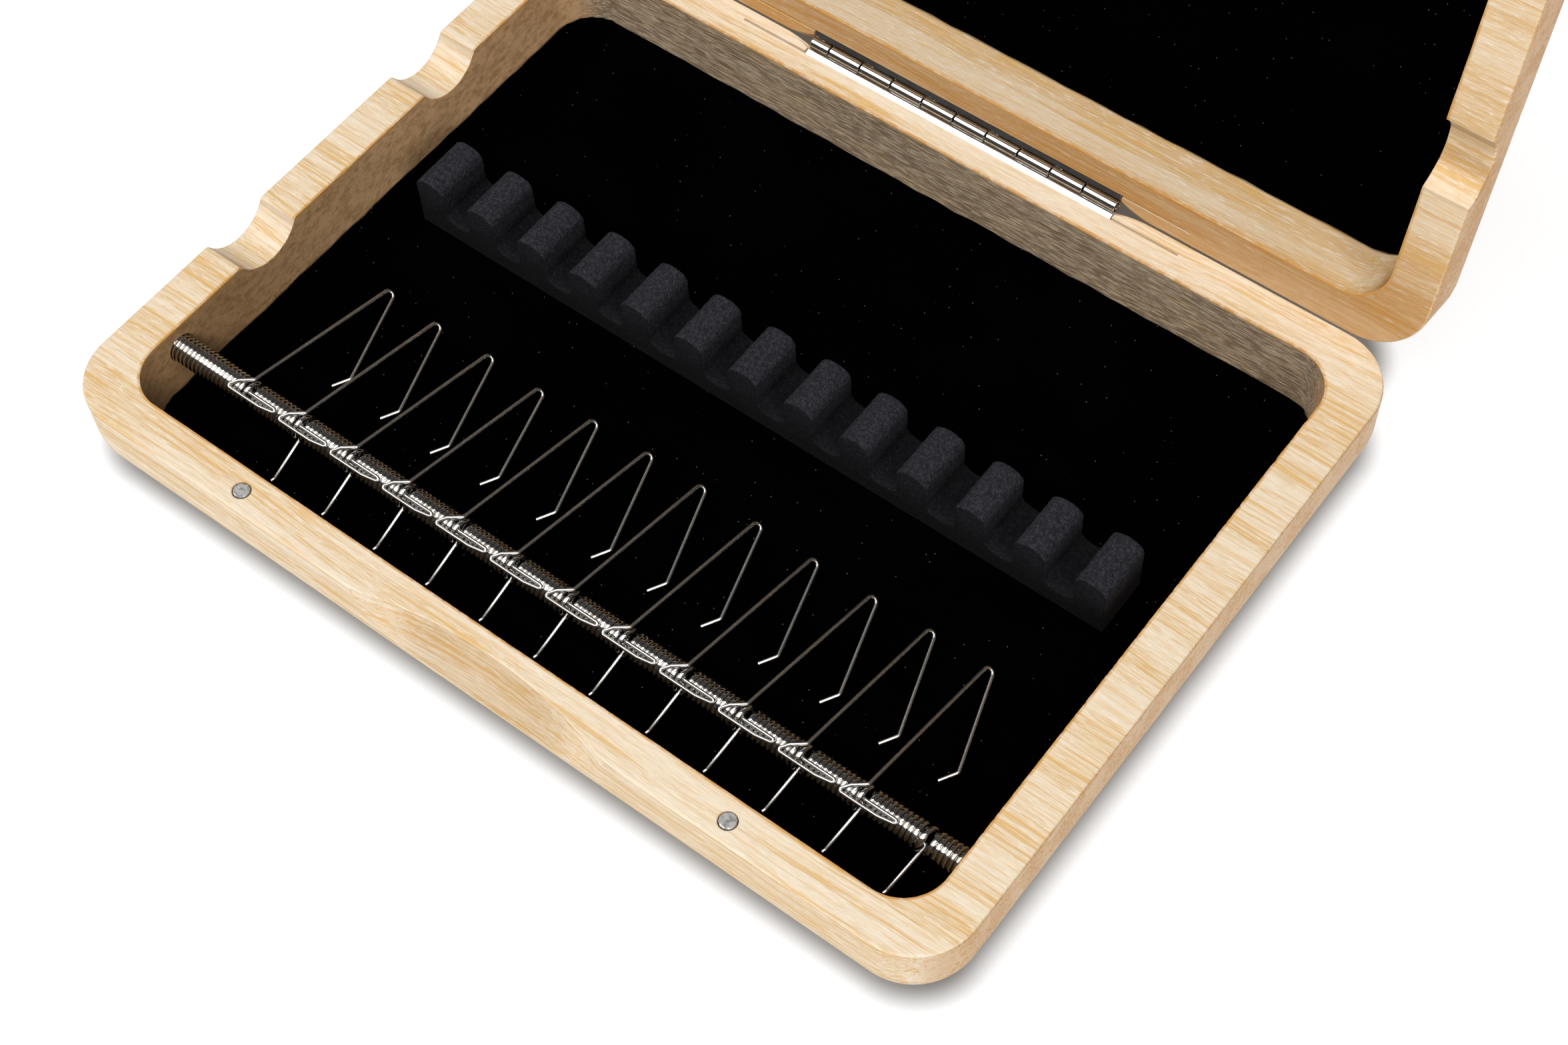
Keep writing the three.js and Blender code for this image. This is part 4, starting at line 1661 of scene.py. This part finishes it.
@dataclass
class StripHinge:
    """The strip hinge: two rolled leaves and a pin."""

    knuckles: int = 10
    pitch: float = 5.87
    first_share: float = 0.6
    gap: float = 0.25
    barrel: float = 1.15
    sheet: float = 0.34
    pin: float = 0.5
    drop: float = 0.3
    rise: float = 20.0
    kerf_y: float = 56.0
    foot: float = 8.5
    bend: float = 0.4
    flange_gap: float = 0.12
    roll_in: tuple[Flat, Flat] = ((-0.95, -0.68), (-0.66, -0.84))
    pin_point: float = 0.12
    bevel: float = 0.07
    finish: Finish = BrightNickel()

    def spans(self) -> list[Flat]:
        """The stretch of barrel that each knuckle takes, left to right.

        Returns:
            list[Flat]: From where to where along X.
        """
        found = []
        left = -CASE.hinge_half
        for index in range(self.knuckles):
            right = left + self.pitch * (self.first_share if index == 0 else 1.0)
            found.append((left + self.gap / 2, right - self.gap / 2))
            left = right
        return found

    def strip(self, line: np.ndarray, from_x: float, to_x: float) -> Skin:
        """Sheet metal along a line in Y and Z, from one X to another, with soft cut ends.

        Args:
            line: The middle of the sheet.
            from_x: Where it starts.
            to_x: Where it ends.

        Returns:
            tuple: The points and the faces.
        """
        ahead = np.gradient(line, axis=0)
        ahead /= np.linalg.norm(ahead, axis=1, keepdims=True)
        normal = np.column_stack((-ahead[:, 1], ahead[:, 0]))
        rings = []
        bevel = self.bevel
        for x, less in ((from_x, bevel), (from_x + bevel, 0.0), (to_x - bevel, 0.0), (to_x, bevel)):
            half = self.sheet / 2 - less
            loop = np.concatenate((line + normal * half, (line - normal * half)[::-1]))
            rings.append(np.column_stack((np.full(len(loop), x), loop)))
        return skin(rings)

    def leaf(self, spans: Sequence[Flat]) -> Skin:
        """One leaf in the base's frame: the plate in the kerf, its flange and its knuckles.

        Args:
            spans: The knuckles that belong to it.

        Returns:
            tuple: The points and the faces.
        """
        middle = CASE.hinge_z - self.drop - self.sheet / 2
        slope = math.tan(math.radians(self.rise))
        flange_end = CASE.hinge_y - self.barrel - self.flange_gap
        low = middle - slope * (flange_end - self.kerf_y - self.bend)
        turn = np.radians(np.linspace(180.0, 90.0 + self.rise, 9))
        bend = np.column_stack((self.kerf_y + self.bend + self.bend * np.cos(turn),
                                low - self.bend + self.bend * np.sin(turn)))
        foot = np.array([[self.kerf_y, z] for z in np.linspace(self.foot, bend[0][1] - 0.1, 4)])
        start = bend[-1]
        flange = np.array([[y, start[1] + slope * (y - start[0])]
                           for y in np.linspace(start[0] + 0.1, flange_end, 5)])
        parts = [self.strip(np.concatenate((foot, bend, flange)), -CASE.hinge_half, CASE.hinge_half)]
        wound = self.barrel - self.sheet / 2
        roll = np.radians(np.linspace(-110.0, 190.0, 44))
        curl = np.column_stack((CASE.hinge_y + wound * np.cos(roll), CASE.hinge_z + wound * np.sin(roll)))
        lead = flange[-2:] - ((0.0, 0.05), (0.0, 0.08))
        rolled = np.concatenate((lead, np.array(self.roll_in) + (CASE.hinge_y, CASE.hinge_z), curl))
        parts += [self.strip(rolled, from_x, to_x) for from_x, to_x in spans]
        return joined(parts)

    def dress(self) -> list[Piece]:
        """Builds both leaves and the pin, finishes them and ties them to their bodies.

        Returns:
            list[Piece]: The three pieces.
        """
        spans = self.spans()
        base_leaf = new_piece("hinge_leaf_base_rolled", self.leaf(spans[1::2]), 40.0)
        flipped = [(-to_x, -from_x) for from_x, to_x in spans[0::2]]
        lid_leaf = new_piece("hinge_leaf_lid_rolled", self.leaf(flipped), 40.0, CASE.lid_place())
        reach, point = CASE.hinge_half, self.pin_point
        profile = ((point, -reach), (self.pin - point, -reach + 0.02), (self.pin, -reach + 0.16),
                   (self.pin, reach - 0.16), (self.pin - point, reach - 0.02), (point, reach))
        shape = moved(lathe(profile, 24), (0.0, CASE.hinge_y, CASE.hinge_z), (2, 0, 1))
        pin = new_piece("hinge_pin_rod", shape, 40.0)
        return [
            dress(base_leaf, self.finish, Slot.NICKEL, Body.BASE.value, "hinge_leaf_base"),
            dress(lid_leaf, self.finish, Slot.NICKEL, Body.LID.value, "hinge_leaf_lid", body=Body.LID),
            dress(pin, self.finish, Slot.NICKEL, Body.BASE.value, "hinge_pin"),
        ]


# Magnets


@dataclass
class RimMagnet:
    """A small disc magnet pressed into the front rim."""

    body: Body
    hand: str
    x: float
    radius: float = 1.25
    length: float = 3.0
    chamfer: float = 0.13
    finish: Finish = DullMagnet()

    def dress(self) -> Piece:
        """Turns the magnet, finishes it and ties it to its body.

        Returns:
            Piece: The magnet.
        """
        top, radius, chamfer = CASE.height, self.radius, self.chamfer
        bottom, edge = top - self.length, radius - chamfer
        profile = ((edge, bottom), (radius, bottom + chamfer), (radius, top - chamfer - 0.1),
                   (radius, top - chamfer), (radius - 0.04, top - 0.04), (edge, top),
                   (edge - 0.15, top), (0.4, top))
        shape = moved(lathe(profile, 40), (self.x, CASE.magnet_from_front - CASE.width / 2, 0.0))
        name = f"{self.body.value}_magnet_{self.hand}"
        piece = new_piece(f"{name}_disc", shape, 50.0, place_of(self.body))
        return dress(piece, self.finish, Slot.MAGNET, self.body.value, name, body=self.body)


# Studio


@dataclass
class Softbox:
    """One soft studio light."""

    name: str
    at: Triple
    size: Flat
    watts: float
    aim: Triple | None = (0.0, 0.0, 0.0)

    def build(self) -> Piece:
        """Hangs the light and turns it to what it lights, or leaves it facing down.

        Returns:
            Piece: The light.
        """
        light = bpy.data.lights.new(self.name, "AREA")
        light.shape = "RECTANGLE"
        light.size, light.size_y = self.size
        light.energy = self.watts
        lamp = bpy.data.objects.new(self.name, light)
        lamp.location = self.at
        if self.aim is not None:
            lamp.rotation_euler = (Vector(self.aim) - Vector(self.at)).to_track_quat("-Z", "Y").to_euler()
        bpy.context.scene.collection.objects.link(lamp)
        return lamp


@dataclass
class Studio:
    """The paper, the lights and the camera."""

    floor_half: float = 6000.0
    camera_at: Triple = (147.47, -164.1, 322.5)
    camera_turn: Triple = (32.387, 1.857, 37.218)
    lens: float = 60.81
    sensor: float = 36.0
    sky: float = 0.07
    boxes: tuple[Softbox, ...] = (
        Softbox("top panel", (-0.35, -0.55, 1.3), (2.6, 1.1), 30.0, aim=None),
        Softbox("right box", (1.25, -0.75, 0.95), (0.5, 0.5), 6.5),
    )

    def build(self) -> None:
        """Sets the studio up."""
        side = np.linspace(-self.floor_half, self.floor_half, 5)
        points = [(x, y, 0.0) for y in side for x in side]
        faces = [(at, at + 1, at + 6, at + 5) for row in range(4) for at in range(row * 5, row * 5 + 4)]
        paper = new_piece("studio_paper", (points, faces))
        paper.data.materials.append(StudioPaper().material())
        world = bpy.data.worlds.new("studio")
        world.use_nodes = True
        sky = world.node_tree.nodes["Background"]
        sky.inputs["Color"].default_value = (1.0, 1.0, 1.0, 1.0)
        sky.inputs["Strength"].default_value = self.sky
        bpy.context.scene.world = world
        for box in self.boxes:
            box.build()
        lens = bpy.data.cameras.new("camera")
        lens.lens = self.lens
        lens.sensor_width = self.sensor
        lens.clip_start = 0.01
        camera = bpy.data.objects.new("camera", lens)
        camera.location = Vector(self.camera_at) * MM
        camera.rotation_euler = Euler([math.radians(angle) for angle in self.camera_turn], "XYZ")
        bpy.context.scene.collection.objects.link(camera)
        bpy.context.scene.camera = camera
        bpy.context.scene.view_settings.view_transform = "Standard"
        LOG.info("studio: %d lights", len(self.boxes))


def main() -> None:
    """Builds the studio and every sub-assembly."""
    logging.basicConfig(level=logging.INFO, format="%(name)s: %(message)s")
    Studio().build()
    base = MilledShell(Body.BASE, floor=2.5, vent_from_back=37.7, scoop_x=2.4, holds_spring=True, seed=3)
    # Painted shade: the lid's ash is a darker, more orange copy of the base's
    shaded_lid_ash = MilledAsh(cream=(0.84, 0.66, 0.45, 1.0), honey=(0.76, 0.51, 0.27, 1.0),
                        hinge_shade=(0.76, 0.62, 0.46, 1.0), browned_and_shaded=0.0, seed=4.0)
    lid = MilledShell(Body.LID, floor=3.2, vent_from_back=35.4, scoop_x=-2.4, holds_spring=False, seed=8,
                      finish=shaded_lid_ash)
    FeltSheet(Body.BASE, floor=2.5, held="laid", seed=5).dress(base.dress())
    FeltSheet(Body.LID, floor=3.5, held="stretched", seed=6).dress(lid.dress())
    FoamRack().dress()
    ReedSpring().dress()
    for index in range(1, CASE.clip_count + 1):
        ReedClip(index).dress()
    StripHinge().dress()
    for body in Body:
        for hand, x in (("left", -CASE.magnet_x), ("right", CASE.magnet_x)):
            RimMagnet(body, hand, x if body is Body.BASE else -x).dress()


if __name__ == "__main__":
    main()
